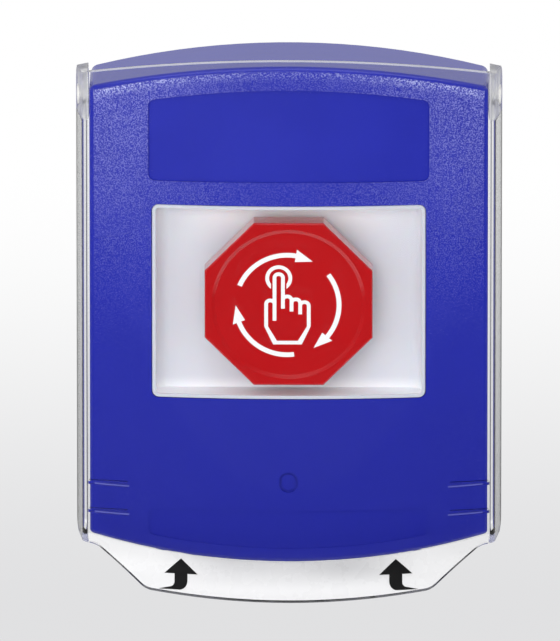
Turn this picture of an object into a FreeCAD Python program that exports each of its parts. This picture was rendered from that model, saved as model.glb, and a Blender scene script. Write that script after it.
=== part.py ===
import FreeCAD, Part
import math
import os

from FreeCAD import Vector

# Wall push-button station with a clear lift-up cover, in millimetres.
# The wall is the plane Y = 0, the room is on its -Y side, X runs to the right and Z up.
# "front" values are distances in front of the wall, so a point at front f lies at Y = -f.
# The origin is at mid-height of the housing's straight sides, between the two box screws.

# Housing shell
HOUSING_WIDTH = 95.0
HOUSING_SIDE_HEIGHT = 110.4
HOUSING_ARCH_RISE = 6.0
HOUSING_SIDE_DEPTH = 19.3
HOUSING_FRONT_BOW = 4.8
HOUSING_WALL = 2.5
HOUSING_EDGE_ROUND = 1.1
HOUSING_TOP_CORNER = 2.0
HOUSING_BOTTOM_CORNER = 1.3

# Window in the housing and the tray behind it
WINDOW_SIDE_MARGIN = 14.85
WINDOW_BOTTOM = -20.8
WINDOW_TOP = 27.0
WINDOW_CORNER = 1.7
TRAY_GAP = 0.15
TRAY_RIM_SETBACK = 0.25
TRAY_WALL = 0.8
TRAY_RECESS = 8.5
TRAY_FLOOR_THICKNESS = 2.0
TRAY_FLOOR_ROUND = 3.0
TRAY_FLANGE = 9.0
TRAY_FLANGE_CORNER = 4.0
TRAY_SCREW_OFFSET = 5.0
TRAY_SCREW_INSET = 6.0

# Shallow label fields moulded into the housing front
FIELD_SIDE_MARGIN = 14.1
FIELD_DEPTH = 0.5
FIELD_CORNER = 1.6
TOP_FIELD_ABOVE_WINDOW = 5.75
TOP_FIELD_MARGIN = 5.7
LOW_FIELD_RISE = 6.8
LOW_FIELD_MARGIN = 3.5
LOW_FIELD_DEPTH = 0.25
DIMPLE_ABOVE_FIELD = 7.1
DIMPLE_WIDTH = 4.4
DIMPLE_HEIGHT = 4.9
DIMPLE_RIM = 0.55
DIMPLE_DEPTH = 0.35
DIMPLE_RIM_DEPTH = 0.6

# Button head and its turning stem
BUTTON_Z = 3.1
BUTTON_FLATS = 40.0
BUTTON_PROUD = 1.1
BUTTON_THICKNESS = 6.3
BUTTON_WALL = 2.2
BUTTON_EDGE_ROUND = 0.45
BUTTON_TRAVEL = 3.0
DISH_RADIUS = 18.4
DISH_DEPTH = 0.35
DISH_SLOPE_WIDTH = 0.9
STEM_RADIUS = 5.0
SPIGOT_RADIUS = 3.0
SPIGOT_BEYOND_CLIP = 0.8

# Symbol inlaid in the button face
INLAY_DEPTH = 0.6
ARROW_RING_X = -0.3
ARROW_RING_Z = -0.2
ARROW_RING_RADIUS = 12.3
ARROW_STROKE = 1.15
ARROW_TAIL_ANGLE = 157.5
ARROW_SWEEP = 97.0
ARROW_HEAD_SWEEP = 20.0
ARROW_HEAD_HALF_WIDTH = 1.55
ARROW_COUNT = 3
HAND_STROKE = 0.9
HAND_X = -2.35
HAND_Z = -0.3
FINGER_WIDTH = 2.0
FINGER_TIP = 7.7
KNUCKLE_WIDTH = 2.05
KNUCKLE_TOP = 2.2
KNUCKLE_STEP = 0.7
KNUCKLE_COUNT = 3
KNUCKLE_SLIT = 3.0
PALM_BOTTOM = -5.2
THUMB_WIDTH = 2.0
THUMB_TOP = 1.2
THUMB_SLIT = 5.0
CUFF_HALF_WIDTH = 2.95
CUFF_BOTTOM = -9.2
TARGET_RADIUS = 2.75
TARGET_GAP = 0.4

# Threaded bushing that carries the button in the tray floor
BUSHING_RADIUS = 11.0
BUSHING_FLANGE_RADIUS = 15.0
BUSHING_FLANGE_THICKNESS = 1.8
BUSHING_BEHIND_TRAY = 7.1
BUSHING_WEB = 2.0
SPRING_POCKET_RADIUS = 9.0
BUSHING_HOLE_GAP = 0.15
NUT_THICKNESS = 2.6
NUT_FLATS = 28.0
NUT_CORNER_LEFT = 1.2
SPRING_RADIUS = 7.1
SPRING_WIRE = 1.0
SPRING_COILS = 4
SPRING_WIRE_SIDES = 6
RUNNING_GAP = 0.05
SEAT_GAP = 0.3

# Pusher, clip and contact carrier
PUSHER_THICKNESS = 2.6
PUSHER_LUG_WIDTH = 3.0
PUSHER_LUG_REACH = 1.6
CLIP_THICKNESS = 0.8
CLIP_RADIUS = 4.2
CLIP_GROOVE_DEPTH = 0.5
CLIP_MOUTH = 3.6
CARRIER_WIDTH = 30.0
CARRIER_EDGE = 2.2
CARRIER_RIB_HALF = 3.3
CARRIER_CORNER = 3.0
CARRIER_REAR_FRONT = -2.0
CARRIER_SCREW_RADIUS = 1.5
CARRIER_SCREW_HEAD_RADIUS = 2.8
CARRIER_SCREW_HEAD = 1.8

# Contact blocks
BLOCK_WIDTH = 11.6
BLOCK_PITCH = 12.0
BLOCK_HEIGHT = 40.0
BLOCK_DEPTH = 24.0
BLOCK_EDGE_ROUND = 0.6
BLOCK_STEP_HEIGHT = 9.5
BLOCK_STEP_DEPTH = 6.0
HOOK_WIDTH = 6.0
HOOK_THICKNESS = 1.5
HOOK_LENGTH = 6.5
HOOK_BARB = 0.8
HOOK_BARB_LENGTH = 1.6
HOOK_GAP = 0.15
CONTACT_PLUNGER_RADIUS = 1.5
CONTACT_PLUNGER_IN_BLOCK = 5.0
CLAMP_SIDE = 7.0
CLAMP_THICKNESS = 1.0
TERMINAL_SCREW_RADIUS = 1.7
TERMINAL_HEAD_RADIUS = 3.0
TERMINAL_HEAD = 1.8
TERMINAL_SCREW_IN_BLOCK = 6.0
WIRE_SLOT_WIDTH = 3.4
WIRE_SLOT_DEPTH = 2.4

# Mounting plate on the wall box
PLATE_SIDE_INSET = 11.5
PLATE_END_INSET = 5.2
PLATE_THICKNESS = 1.5
PLATE_CORNER = 5.0
PLATE_OPENING_WIDTH = 40.0
PLATE_OPENING_HEIGHT = 52.0
PLATE_OPENING_CORNER = 4.0
BOX_SCREW_SPACING = 83.3
BOX_SCREW_HOLE_RADIUS = 2.2
PLATE_SIDE_FLANGE = 5.0
HOOK_TAB_X = 20.0
HOOK_TAB_WIDTH = 10.0
HOOK_TAB_LENGTH = 9.0
HOOK_TAB_GAP = 0.4
NIB_WIDTH = 6.0
NIB_LENGTH = 1.6
NIB_HEIGHT = 1.9
NIB_FRONT = 4.5
NIB_GAP = 0.2
LOCK_TAB_WIDTH = 14.0
LOCK_TAB_LENGTH = 14.0
LOCK_SCREW_FRONT = 8.5
LOCK_SCREW_RADIUS = 1.75
LOCK_SCREW_LENGTH = 6.0
LOCK_HEAD_RADIUS = 3.2
LOCK_HEAD = 1.8
LOCK_HEAD_SINK = 1.0
LOCK_SOCKET_FLATS = 2.3

# Small screws that hold the tray
TRAY_SCREW_RADIUS = 1.4
TRAY_SCREW_LENGTH = 5.6
TRAY_SCREW_HEAD_RADIUS = 2.7
TRAY_SCREW_HEAD = 1.6
TRAY_BOSS_RADIUS = 3.4
SCREW_GAP = 0.05

# Slots in the screw heads
SLOT_WIDTH = 0.8
SLOT_DEPTH = 0.9

# Clear cover
COVER_WALL = 1.5
COVER_SIDE_GAP = 0.3
COVER_SIDE_FLARE = 1.6
COVER_SIDE_AHEAD = 3.2
COVER_CENTRE_AHEAD = 7.7
COVER_REAR_FRONT = 10.5
COVER_ABOVE_SIDE = 3.5
COVER_TOP_RISE = 5.8
COVER_BELOW_SIDE = 1.0
COVER_EDGE_ROUND = 2.0
COVER_CORNER_ROUND = 3.5
LIP_BEND_DROP = 1.9
LIP_BEND_RADIUS = 14.0
LIP_BEND_TURN = 50.0
LIP_DROP = 12.6
LIP_CORNER_INSET = 15.1
LIP_CORNER_RISE = 1.7
LIP_SHOULDER_INSET = 3.4
LIP_SHOULDER_DROP = 1.8
LIP_CORNER_ROUND = 5.0
RIB_THICKNESS = 0.7
RIB_INSET = 9.1
RIB_LOW_RISE = 6.1
RIB_SPACING = 7.0
RIB_COUNT = 2

# Hinge
HINGE_BEHIND_EDGE = 4.8
HINGE_DROP = 3.2
HINGE_PIN_RADIUS = 1.5
HINGE_HEAD_RADIUS = 2.3
HINGE_HEAD = 0.7
HINGE_HEAD_SINK = 1.1
EAR_GAP = 0.4
EAR_BELOW_HINGE = 4.5
PIN_BOSS_RADIUS = 3.4
PIN_BOSS_LENGTH = 2.0

# Label on the lip
LABEL_THICKNESS = 0.2
LABEL_MARGIN = 0.55
LABEL_TOP_RISE = 1.0
LABEL_TOP_DROP = 4.9
INK_THICKNESS = 0.08
LIFT_ARROW_INSET = 23.6
LIFT_ARROW_DROP = 3.6
LIFT_ARROW_HEAD_HALF = 3.95
LIFT_ARROW_HEAD_HEIGHT = 3.5
LIFT_ARROW_SHAFT_HALF = 1.55
LIFT_ARROW_SHAFT_DROP = 3.4
LIFT_ARROW_TAIL_OUT = 5.3
LIFT_ARROW_TAIL_THICKNESS = 0.75
LIFT_ARROW_ELBOW = 1.1
LIFT_ARROW_BELLY = 1.9

# Values that follow from the sizes above, the cover's own from the housing that it closes over
HALF_WIDTH = HOUSING_WIDTH / 2
HALF_SIDE = HOUSING_SIDE_HEIGHT / 2
HOUSING_FRONT = HOUSING_SIDE_DEPTH + HOUSING_FRONT_BOW
WINDOW_WIDTH = HOUSING_WIDTH - 2 * WINDOW_SIDE_MARGIN
FIELD_HALF_WIDTH = HALF_WIDTH - FIELD_SIDE_MARGIN
TRAY_FLOOR_FRONT = HOUSING_FRONT - TRAY_RECESS
TOP_FIELD_BOTTOM = WINDOW_TOP + TOP_FIELD_ABOVE_WINDOW
LOW_FIELD_TOP = -HALF_SIDE + LOW_FIELD_RISE
DIMPLE_Z = LOW_FIELD_TOP + DIMPLE_ABOVE_FIELD
PIN_BOSS_END = HALF_WIDTH - HOUSING_WALL - PIN_BOSS_LENGTH
BUTTON_FACE_FRONT = HOUSING_FRONT + BUTTON_PROUD
BUTTON_RIM_FRONT = BUTTON_FACE_FRONT - BUTTON_THICKNESS
BUTTON_CEILING = BUTTON_FACE_FRONT - DISH_DEPTH - BUTTON_WALL
TRAY_BACK = TRAY_FLOOR_FRONT - TRAY_FLOOR_THICKNESS
BUSHING_REAR_FRONT = TRAY_BACK - BUSHING_BEHIND_TRAY
WEB_FRONT = BUSHING_REAR_FRONT + BUSHING_WEB
NUT_REAR = TRAY_BACK - NUT_THICKNESS
PUSHER_FRONT = BUSHING_REAR_FRONT - SEAT_GAP
PUSHER_REAR = PUSHER_FRONT - PUSHER_THICKNESS
PUSHER_RADIUS = BUSHING_RADIUS - SEAT_GAP
CLIP_FRONT = PUSHER_REAR - RUNNING_GAP
CARRIER_FRONT = NUT_REAR - SEAT_GAP
CARRIER_HEIGHT = BLOCK_HEIGHT + 2 * (HOOK_GAP + HOOK_THICKNESS)
BLOCK_REAR = CARRIER_REAR_FRONT - BLOCK_DEPTH
PLATE_HALF = HALF_SIDE - PLATE_END_INSET
PLATE_HALF_WIDTH = HALF_WIDTH - PLATE_SIDE_INSET
COVER_HALF_WIDTH = HALF_WIDTH + COVER_SIDE_GAP + COVER_WALL
COVER_SIDE_FRONT = HOUSING_SIDE_DEPTH + COVER_SIDE_AHEAD
COVER_CENTRE_FRONT = HOUSING_FRONT + COVER_CENTRE_AHEAD
COVER_TOP_SIDE = HALF_SIDE + COVER_ABOVE_SIDE
COVER_BOTTOM_SIDE = -HALF_SIDE - COVER_BELOW_SIDE
LIP_BEND_Z = -HALF_SIDE - LIP_BEND_DROP
LIP_BOTTOM = -HALF_SIDE - LIP_DROP
LIP_CORNER_X = COVER_HALF_WIDTH - LIP_CORNER_INSET
LIP_SHOULDER_X = COVER_HALF_WIDTH - LIP_SHOULDER_INSET
LIP_SHOULDER_Z = -HALF_SIDE - LIP_SHOULDER_DROP
RIB_INNER_X = HALF_WIDTH - RIB_INSET
RIB_LOW_Z = -HALF_SIDE + RIB_LOW_RISE
HINGE_FRONT = HOUSING_SIDE_DEPTH - HINGE_BEHIND_EDGE
HINGE_Z = HALF_SIDE - HINGE_DROP
EAR_BOTTOM = HINGE_Z - EAR_BELOW_HINGE
LABEL_TOP_SIDE = -HALF_SIDE + LABEL_TOP_RISE
LIFT_ARROW_X = COVER_HALF_WIDTH - LIFT_ARROW_INSET
LIFT_ARROW_TIP_Z = -HALF_SIDE - LIFT_ARROW_DROP

# Half-width that clears the cover's outermost points
PAST_COVER_SIDE = COVER_HALF_WIDTH + COVER_SIDE_FLARE + 1

# How far a cutting shape reaches past what it cuts
PAST = 5.0

# Corner radius of a round-ended bar over half its width, under 1 so that no edge vanishes
ROUND_END = 0.9


def arc_radius(half_chord, rise):
    return (half_chord**2 + rise**2) / (2 * rise)


ARCH_RADIUS = arc_radius(HALF_WIDTH, HOUSING_ARCH_RISE)
BOW_RADIUS = arc_radius(HALF_WIDTH, HOUSING_FRONT_BOW)
COVER_RADIUS = arc_radius(COVER_HALF_WIDTH, COVER_CENTRE_FRONT - COVER_SIDE_FRONT)
COVER_AXIS_Y = COVER_RADIUS - COVER_CENTRE_FRONT


def box(x_range, front_range, z_range):
    size = [high - low for low, high in (x_range, front_range, z_range)]
    return Part.makeBox(*size, Vector(x_range[0], -front_range[1], z_range[0]))


def rod(radius, front_range, x=0.0, z=0.0):
    length = front_range[1] - front_range[0]
    return Part.makeCylinder(radius, length, Vector(x, -front_range[1], z), Vector(0, 1, 0))


def prism(wire, front_range):
    face = Part.Face(wire)
    face.translate(Vector(0, -front_range[1], 0))
    return face.extrude(Vector(0, front_range[1] - front_range[0], 0))


def polygon(points):
    places = [Vector(x, 0, z) for x, z in points]
    return Part.makePolygon(places + places[:1])


def rounded_wire(x_range, z_range, corner):
    (x0, x1), (z0, z1) = x_range, z_range
    centres = [
        (x1 - corner, z1 - corner, 0),
        (x0 + corner, z1 - corner, 90),
        (x0 + corner, z0 + corner, 180),
        (x1 - corner, z0 + corner, 270),
    ]
    arcs = []
    for x, z, start in centres:
        places = [around(x, z, corner, start + turn) for turn in (0, 45, 90)]
        arcs.append(Part.Arc(*places).toShape())
    edges = []
    for arc, following in zip(arcs, arcs[1:] + arcs[:1]):
        edges.append(arc)
        edges.append(Part.makeLine(arc.Vertexes[-1].Point, following.Vertexes[0].Point))
    return Part.Wire(edges)


def around(x, z, radius, degrees):
    angle = math.radians(degrees)
    return Vector(x + radius * math.cos(angle), 0, z + radius * math.sin(angle))


def rounded_prism(x_range, z_range, corner, front_range):
    return prism(rounded_wire(x_range, z_range, corner), front_range)


def centred(half, middle=0.0):
    return (middle - half, middle + half)


def round_upright_edges(shape, radius, chosen):
    """Fillets the sharp edges that run straight along Y and that chosen(x, z) accepts."""
    edges = []
    for edge in shape.Edges:
        start, end = edge.Vertexes[0].Point, edge.Vertexes[-1].Point
        sideways = abs(start.x - end.x) + abs(start.z - end.z)
        if len(edge.Vertexes) == 2 and sideways < 1e-4 and chosen(start.x, start.z):
            edges.append(edge)
    return shape.makeFillet(radius, edges)


# Housing


def arch_z(x, inset=0.0):
    """Height of the housing's top arch at x, moved inwards by inset."""
    centre = HALF_SIDE + HOUSING_ARCH_RISE - ARCH_RADIUS
    return centre + math.sqrt((ARCH_RADIUS - inset) ** 2 - x**2)


def arched_wire(inset, half_width=None, bottom=None, top=None):
    """The housing's outline in the XZ plane, with its arched top and bottom."""
    half = HALF_WIDTH - inset if half_width is None else half_width
    lower_left = Vector(-half, 0, -arch_z(half, inset) if bottom is None else bottom)
    lower_right = Vector(half, 0, lower_left.z)
    upper_left = Vector(-half, 0, arch_z(half, inset) if top is None else top)
    upper_right = Vector(half, 0, upper_left.z)
    if bottom is None:
        low = Part.Arc(lower_left, Vector(0, 0, -arch_z(0, inset)), lower_right).toShape()
    else:
        low = Part.makeLine(lower_left, lower_right)
    if top is None:
        high = Part.Arc(upper_right, Vector(0, 0, arch_z(0, inset)), upper_left).toShape()
    else:
        high = Part.makeLine(upper_right, upper_left)
    right = Part.makeLine(lower_right, upper_right)
    left = Part.makeLine(upper_left, lower_left)
    return Part.Wire([low, right, high, left])


def behind_front(setback):
    """Everything behind the bowed front face moved back by setback."""
    reach = HALF_SIDE + HOUSING_ARCH_RISE + PAST
    centre = Vector(0, BOW_RADIUS - HOUSING_FRONT, -reach)
    return Part.makeCylinder(BOW_RADIUS - setback, 2 * reach, centre)


def rounded_field(wire):
    block = prism(wire, (0, HOUSING_FRONT + PAST))
    return round_upright_edges(block, FIELD_CORNER, lambda x, z: True)


def obround(width, height, z, front_range):
    half = width / 2
    corner = half * ROUND_END
    return rounded_prism(centred(half), centred(height / 2, z), corner, front_range)


def hinge_rod(side, radius, x_range):
    """A cylinder on the hinge axis, from x_range[0] outwards to x_range[1]."""
    centre = Vector(side * x_range[0], -HINGE_FRONT, HINGE_Z)
    return Part.makeCylinder(radius, x_range[1] - x_range[0], centre, Vector(side, 0, 0))


def tray_screw_places():
    x = WINDOW_WIDTH / 2 + TRAY_SCREW_OFFSET
    heights = (WINDOW_BOTTOM + TRAY_SCREW_INSET, WINDOW_TOP - TRAY_SCREW_INSET)
    return [(side * x, z) for side in (-1, 1) for z in heights]


def window_wire(gap):
    half = WINDOW_WIDTH / 2 - gap
    return rounded_wire(
        centred(half), (WINDOW_BOTTOM + gap, WINDOW_TOP - gap), WINDOW_CORNER - gap
    )


def housing_block():
    block = prism(arched_wire(0), (0, HOUSING_FRONT + PAST)).common(behind_front(0))
    block = round_upright_edges(block, HOUSING_BOTTOM_CORNER, lambda x, z: z < 0)
    block = round_upright_edges(block, HOUSING_TOP_CORNER, lambda x, z: z > 0)
    front_edges = [edge for edge in block.Edges if on_bowed_front(edge)]
    return block.makeFillet(HOUSING_EDGE_ROUND, front_edges)


def on_bowed_front(edge):
    axis_y = BOW_RADIUS - HOUSING_FRONT
    for share in (0, 0.5, 1):
        first, last = edge.ParameterRange
        place = edge.valueAt(first + share * (last - first))
        if abs(math.hypot(place.x, place.y - axis_y) - BOW_RADIUS) > 1e-3:
            return False
    return True


def front_housing():
    shell = housing_block()
    cavity = prism(arched_wire(HOUSING_WALL), (-PAST, HOUSING_FRONT))
    shell = shell.cut(cavity.common(behind_front(HOUSING_WALL)))
    inside = behind_front(HOUSING_WALL / 2)
    for x, z in tray_screw_places():
        boss = rod(TRAY_BOSS_RADIUS, (TRAY_FLOOR_FRONT, HOUSING_FRONT), x, z)
        shell = shell.fuse(boss.common(inside))
    for side in (-1, 1):
        boss_range = (PIN_BOSS_END, HALF_WIDTH - HOUSING_WALL / 2)
        shell = shell.fuse(hinge_rod(side, PIN_BOSS_RADIUS, boss_range))
        shell = shell.fuse(snap_nib(side))
    shell = shell.cut(prism(window_wire(0), (0, HOUSING_FRONT + PAST)))
    for x, z in tray_screw_places():
        pilot = (TRAY_FLOOR_FRONT, TRAY_BACK + TRAY_SCREW_LENGTH + SEAT_GAP)
        shell = shell.cut(rod(TRAY_SCREW_RADIUS + SCREW_GAP, pilot, x, z))
    for side in (-1, 1):
        shell = shell.cut(hinge_rod(side, HINGE_PIN_RADIUS, (PIN_BOSS_END - 1, HALF_WIDTH + 1)))
    return cut_fields(cut_lock_hole(shell)).removeSplitter()


def snap_nib(side):
    x_range = centred(NIB_WIDTH / 2, side * HOOK_TAB_X)
    roof = arch_z(HOOK_TAB_X, HOUSING_WALL / 2)
    low = hook_tab_top() - NIB_HEIGHT + HOOK_TAB_GAP
    return box(x_range, (NIB_FRONT, NIB_FRONT + NIB_LENGTH), (low, roof))


def hook_tab_top():
    return arch_z(HOOK_TAB_X + HOOK_TAB_WIDTH / 2, HOUSING_WALL) - HOOK_TAB_GAP


def cut_lock_hole(shell):
    start = Vector(0, -LOCK_SCREW_FRONT, -arch_z(0) - PAST)
    through = PAST + 2 * HOUSING_WALL
    hole = Part.makeCylinder(LOCK_SCREW_RADIUS + 2 * SCREW_GAP, through, start)
    sink = Part.makeCylinder(LOCK_HEAD_RADIUS + SEAT_GAP, PAST + LOCK_HEAD_SINK, start)
    return shell.cut(hole.fuse(sink))


def cut_fields(shell):
    top = rounded_field(arched_wire(TOP_FIELD_MARGIN, FIELD_HALF_WIDTH, TOP_FIELD_BOTTOM))
    low = rounded_field(arched_wire(LOW_FIELD_MARGIN, FIELD_HALF_WIDTH, None, LOW_FIELD_TOP))
    shell = shell.cut(top.cut(behind_front(FIELD_DEPTH)))
    shell = shell.cut(low.cut(behind_front(LOW_FIELD_DEPTH)))
    reach = (0, HOUSING_FRONT + PAST)
    outer = obround(DIMPLE_WIDTH, DIMPLE_HEIGHT, DIMPLE_Z, reach)
    inner_width = DIMPLE_WIDTH - 2 * DIMPLE_RIM
    inner = obround(inner_width, DIMPLE_HEIGHT - 2 * DIMPLE_RIM, DIMPLE_Z, reach)
    groove = outer.cut(inner)
    shell = shell.cut(groove.cut(behind_front(DIMPLE_RIM_DEPTH)))
    return shell.cut(inner.cut(behind_front(DIMPLE_DEPTH)))


# Window tray


def tray_pocket():
    """The space inside the tray: its long floor edges are rounded, its ends are square."""
    half = WINDOW_WIDTH / 2 - TRAY_GAP - TRAY_WALL
    floor_y = -TRAY_FLOOR_FRONT
    mouth_y = -HOUSING_FRONT - PAST
    bend = TRAY_FLOOR_ROUND
    slant = bend * (1 - math.cos(math.radians(45)))
    edges = [Part.makeLine(Vector(-half, mouth_y, 0), Vector(half, mouth_y, 0))]
    edges.append(Part.makeLine(Vector(half, mouth_y, 0), Vector(half, floor_y - bend, 0)))
    right = [(half, floor_y - bend), (half - slant, floor_y - slant), (half - bend, floor_y)]
    edges.append(Part.Arc(*[Vector(x, y, 0) for x, y in right]).toShape())
    edges.append(Part.makeLine(Vector(half - bend, floor_y, 0), Vector(bend - half, floor_y, 0)))
    left = [(-x, y) for x, y in reversed(right)]
    edges.append(Part.Arc(*[Vector(x, y, 0) for x, y in left]).toShape())
    edges.append(Part.makeLine(Vector(-half, floor_y - bend, 0), Vector(-half, mouth_y, 0)))
    face = Part.Face(Part.Wire(edges))
    face.translate(Vector(0, 0, WINDOW_BOTTOM))
    channel = face.extrude(Vector(0, 0, WINDOW_TOP - WINDOW_BOTTOM))
    mouth = prism(window_wire(TRAY_GAP + TRAY_WALL), (0, HOUSING_FRONT + PAST))
    return channel.common(mouth)


def window_tray():
    walls = prism(window_wire(TRAY_GAP), (TRAY_BACK, HOUSING_FRONT + PAST))
    tray = walls.common(behind_front(TRAY_RIM_SETBACK))
    half = WINDOW_WIDTH / 2 + TRAY_FLANGE
    heights = (WINDOW_BOTTOM - TRAY_FLANGE / 2, WINDOW_TOP + TRAY_FLANGE / 2)
    flange = rounded_prism(
        centred(half), heights, TRAY_FLANGE_CORNER, (TRAY_BACK, TRAY_FLOOR_FRONT)
    )
    tray = tray.fuse(flange).cut(tray_pocket())
    hole = (TRAY_BACK - 1, TRAY_FLOOR_FRONT + 1)
    for x, z in tray_screw_places():
        tray = tray.cut(rod(TRAY_SCREW_RADIUS + 2 * SCREW_GAP, hole, x, z))
    tray = tray.cut(rod(BUSHING_RADIUS + BUSHING_HOLE_GAP, hole, 0, BUTTON_Z))
    return tray.removeSplitter()


def screw_facing_wall(shank, head, seat, x, z):
    """A slotted screw driven from behind; shank and head are (radius, length)."""
    head_rear = seat - head[1]
    screw = rod(shank[0], (seat, seat + shank[1]), x, z)
    screw = screw.fuse(rod(head[0], (head_rear, seat), x, z))
    slot_range = (head_rear - 1, head_rear + SLOT_DEPTH)
    slot = box(centred(head[0] + 1, x), slot_range, centred(SLOT_WIDTH / 2, z))
    return screw.cut(slot).removeSplitter()


def tray_screws():
    shank = (TRAY_SCREW_RADIUS, TRAY_SCREW_LENGTH)
    head = (TRAY_SCREW_HEAD_RADIUS, TRAY_SCREW_HEAD)
    return [screw_facing_wall(shank, head, TRAY_BACK, x, z) for x, z in tray_screw_places()]


# Button


def octagon_wire(flats):
    corner = flats / 2 / math.cos(math.radians(22.5))
    places = [around(0, BUTTON_Z, corner, 22.5 + 45 * index) for index in range(8)]
    return Part.makePolygon(places + places[:1])


def button_head():
    head = prism(octagon_wire(BUTTON_FLATS), (BUTTON_RIM_FRONT, BUTTON_FACE_FRONT))
    face_edges = [
        edge for edge in head.Edges
        if all(abs(vertex.Point.y + BUTTON_FACE_FRONT) < 1e-4 for vertex in edge.Vertexes)
    ]
    head = head.makeFillet(BUTTON_EDGE_ROUND, face_edges)
    floor = Vector(0, DISH_DEPTH - BUTTON_FACE_FRONT, BUTTON_Z)
    inner = DISH_RADIUS - DISH_SLOPE_WIDTH
    dish = Part.makeCone(inner, DISH_RADIUS, DISH_DEPTH, floor, Vector(0, -1, 0))
    return head.cut(dish)


def button_cap():
    cap = button_head()
    hollow_flats = BUTTON_FLATS - 2 * BUTTON_WALL
    cap = cap.cut(prism(octagon_wire(hollow_flats), (BUTTON_RIM_FRONT - 1, BUTTON_CEILING)))
    cap = cap.fuse(rod(STEM_RADIUS, (PUSHER_FRONT, BUTTON_CEILING + 1), 0, BUTTON_Z))
    end = CLIP_FRONT - CLIP_THICKNESS - SPIGOT_BEYOND_CLIP
    cap = cap.fuse(rod(SPIGOT_RADIUS, (end, PUSHER_FRONT), 0, BUTTON_Z))
    groove_range = (CLIP_FRONT - CLIP_THICKNESS - RUNNING_GAP, CLIP_FRONT)
    groove = rod(SPIGOT_RADIUS + 1, groove_range, 0, BUTTON_Z)
    groove = groove.cut(rod(SPIGOT_RADIUS - CLIP_GROOVE_DEPTH, groove_range, 0, BUTTON_Z))
    cap = cap.cut(groove)
    return cap.cut(Part.makeCompound(button_symbol())).removeSplitter()


def symbol_range():
    floor = BUTTON_FACE_FRONT - DISH_DEPTH
    return (floor - INLAY_DEPTH, floor)


def arc_arrow(index):
    """One clockwise arrow of the ring round the hand."""
    tail = ARROW_TAIL_ANGLE - index * 360 / ARROW_COUNT
    neck = tail - ARROW_SWEEP + ARROW_HEAD_SWEEP
    tip = tail - ARROW_SWEEP
    middle = (tail + neck) / 2
    outer = ARROW_RING_RADIUS + ARROW_STROKE / 2
    inner = ARROW_RING_RADIUS - ARROW_STROKE / 2
    head_out = ARROW_RING_RADIUS + ARROW_HEAD_HALF_WIDTH
    head_in = ARROW_RING_RADIUS - ARROW_HEAD_HALF_WIDTH
    x, z = ARROW_RING_X, BUTTON_Z + ARROW_RING_Z
    over = [around(x, z, outer, angle) for angle in (tail, middle, neck)]
    back = [around(x, z, inner, angle) for angle in (neck, middle, tail)]
    head = [
        around(x, z, head_out, neck),
        around(x, z, ARROW_RING_RADIUS, tip),
        around(x, z, head_in, neck),
    ]
    edges = [
        Part.Arc(*over).toShape(),
        Part.makeLine(over[2], head[0]),
        Part.makeLine(head[0], head[1]),
        Part.makeLine(head[1], head[2]),
        Part.makeLine(head[2], back[0]),
        Part.Arc(*back).toShape(),
        Part.makeLine(back[2], over[0]),
    ]
    return prism(Part.Wire(edges), symbol_range())


def hand_block(x_range, z_range, corner, grow):
    """A rounded bar of the hand, in the hand's own centre lines, widened by grow."""
    x0, x1 = [x + HAND_X for x in x_range]
    z0, z1 = [z + HAND_Z + BUTTON_Z for z in z_range]
    return rounded_prism(
        (x0 - grow, x1 + grow), (z0 - grow, z1 + grow), corner + grow, symbol_range()
    )


def hand_fill(grow):
    """The filled shape of a hand with one finger up, widened by grow."""
    finger_left = -FINGER_WIDTH / 2
    finger_right = FINGER_WIDTH / 2
    tip_round = FINGER_WIDTH / 2 * ROUND_END
    shape = hand_block((finger_left, finger_right), (PALM_BOTTOM, FINGER_TIP), tip_round, grow)
    for index in range(KNUCKLE_COUNT):
        left = finger_right + index * KNUCKLE_WIDTH
        top = KNUCKLE_TOP - index * KNUCKLE_STEP
        corner = KNUCKLE_WIDTH / 2 * ROUND_END
        bar = hand_block((left, left + KNUCKLE_WIDTH), (PALM_BOTTOM, top), corner, grow)
        shape = shape.fuse(bar)
    right = finger_right + KNUCKLE_COUNT * KNUCKLE_WIDTH
    thumb_left = finger_left - THUMB_WIDTH
    thumb_round = THUMB_WIDTH / 2 * ROUND_END
    thumb = hand_block((thumb_left, finger_left), (PALM_BOTTOM, THUMB_TOP), thumb_round, grow)
    shape = shape.fuse(thumb)
    middle = (thumb_left + right) / 2
    palm_top = THUMB_TOP - THUMB_WIDTH
    palm = [
        (thumb_left - grow, palm_top),
        (right + grow, palm_top),
        (right + grow, PALM_BOTTOM),
        (middle + CUFF_HALF_WIDTH + grow, CUFF_BOTTOM - grow),
        (middle - CUFF_HALF_WIDTH - grow, CUFF_BOTTOM - grow),
        (thumb_left - grow, PALM_BOTTOM),
    ]
    shift = BUTTON_Z + HAND_Z
    wire = polygon([(x + HAND_X, z + shift) for x, z in palm])
    return shape.fuse(prism(wire, symbol_range())).removeSplitter()


def hand_slit(x, top, width, length):
    """Line between two fingers, down from where the lower one's round tip begins."""
    shift = BUTTON_Z + HAND_Z + top
    heights = (shift - length, shift - width / 3)
    return box(centred(HAND_STROKE / 2, x + HAND_X), symbol_range(), heights)


def hand_symbol():
    half = HAND_STROKE / 2
    outline = hand_fill(half).cut(hand_fill(-half))
    outline = outline.fuse(hand_slit(-FINGER_WIDTH / 2, THUMB_TOP, THUMB_WIDTH, THUMB_SLIT))
    for index in range(KNUCKLE_COUNT):
        x = FINGER_WIDTH / 2 + index * KNUCKLE_WIDTH
        top = KNUCKLE_TOP - index * KNUCKLE_STEP
        outline = outline.fuse(hand_slit(x, top, KNUCKLE_WIDTH, KNUCKLE_SLIT))
    return outline.removeSplitter()


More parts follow.
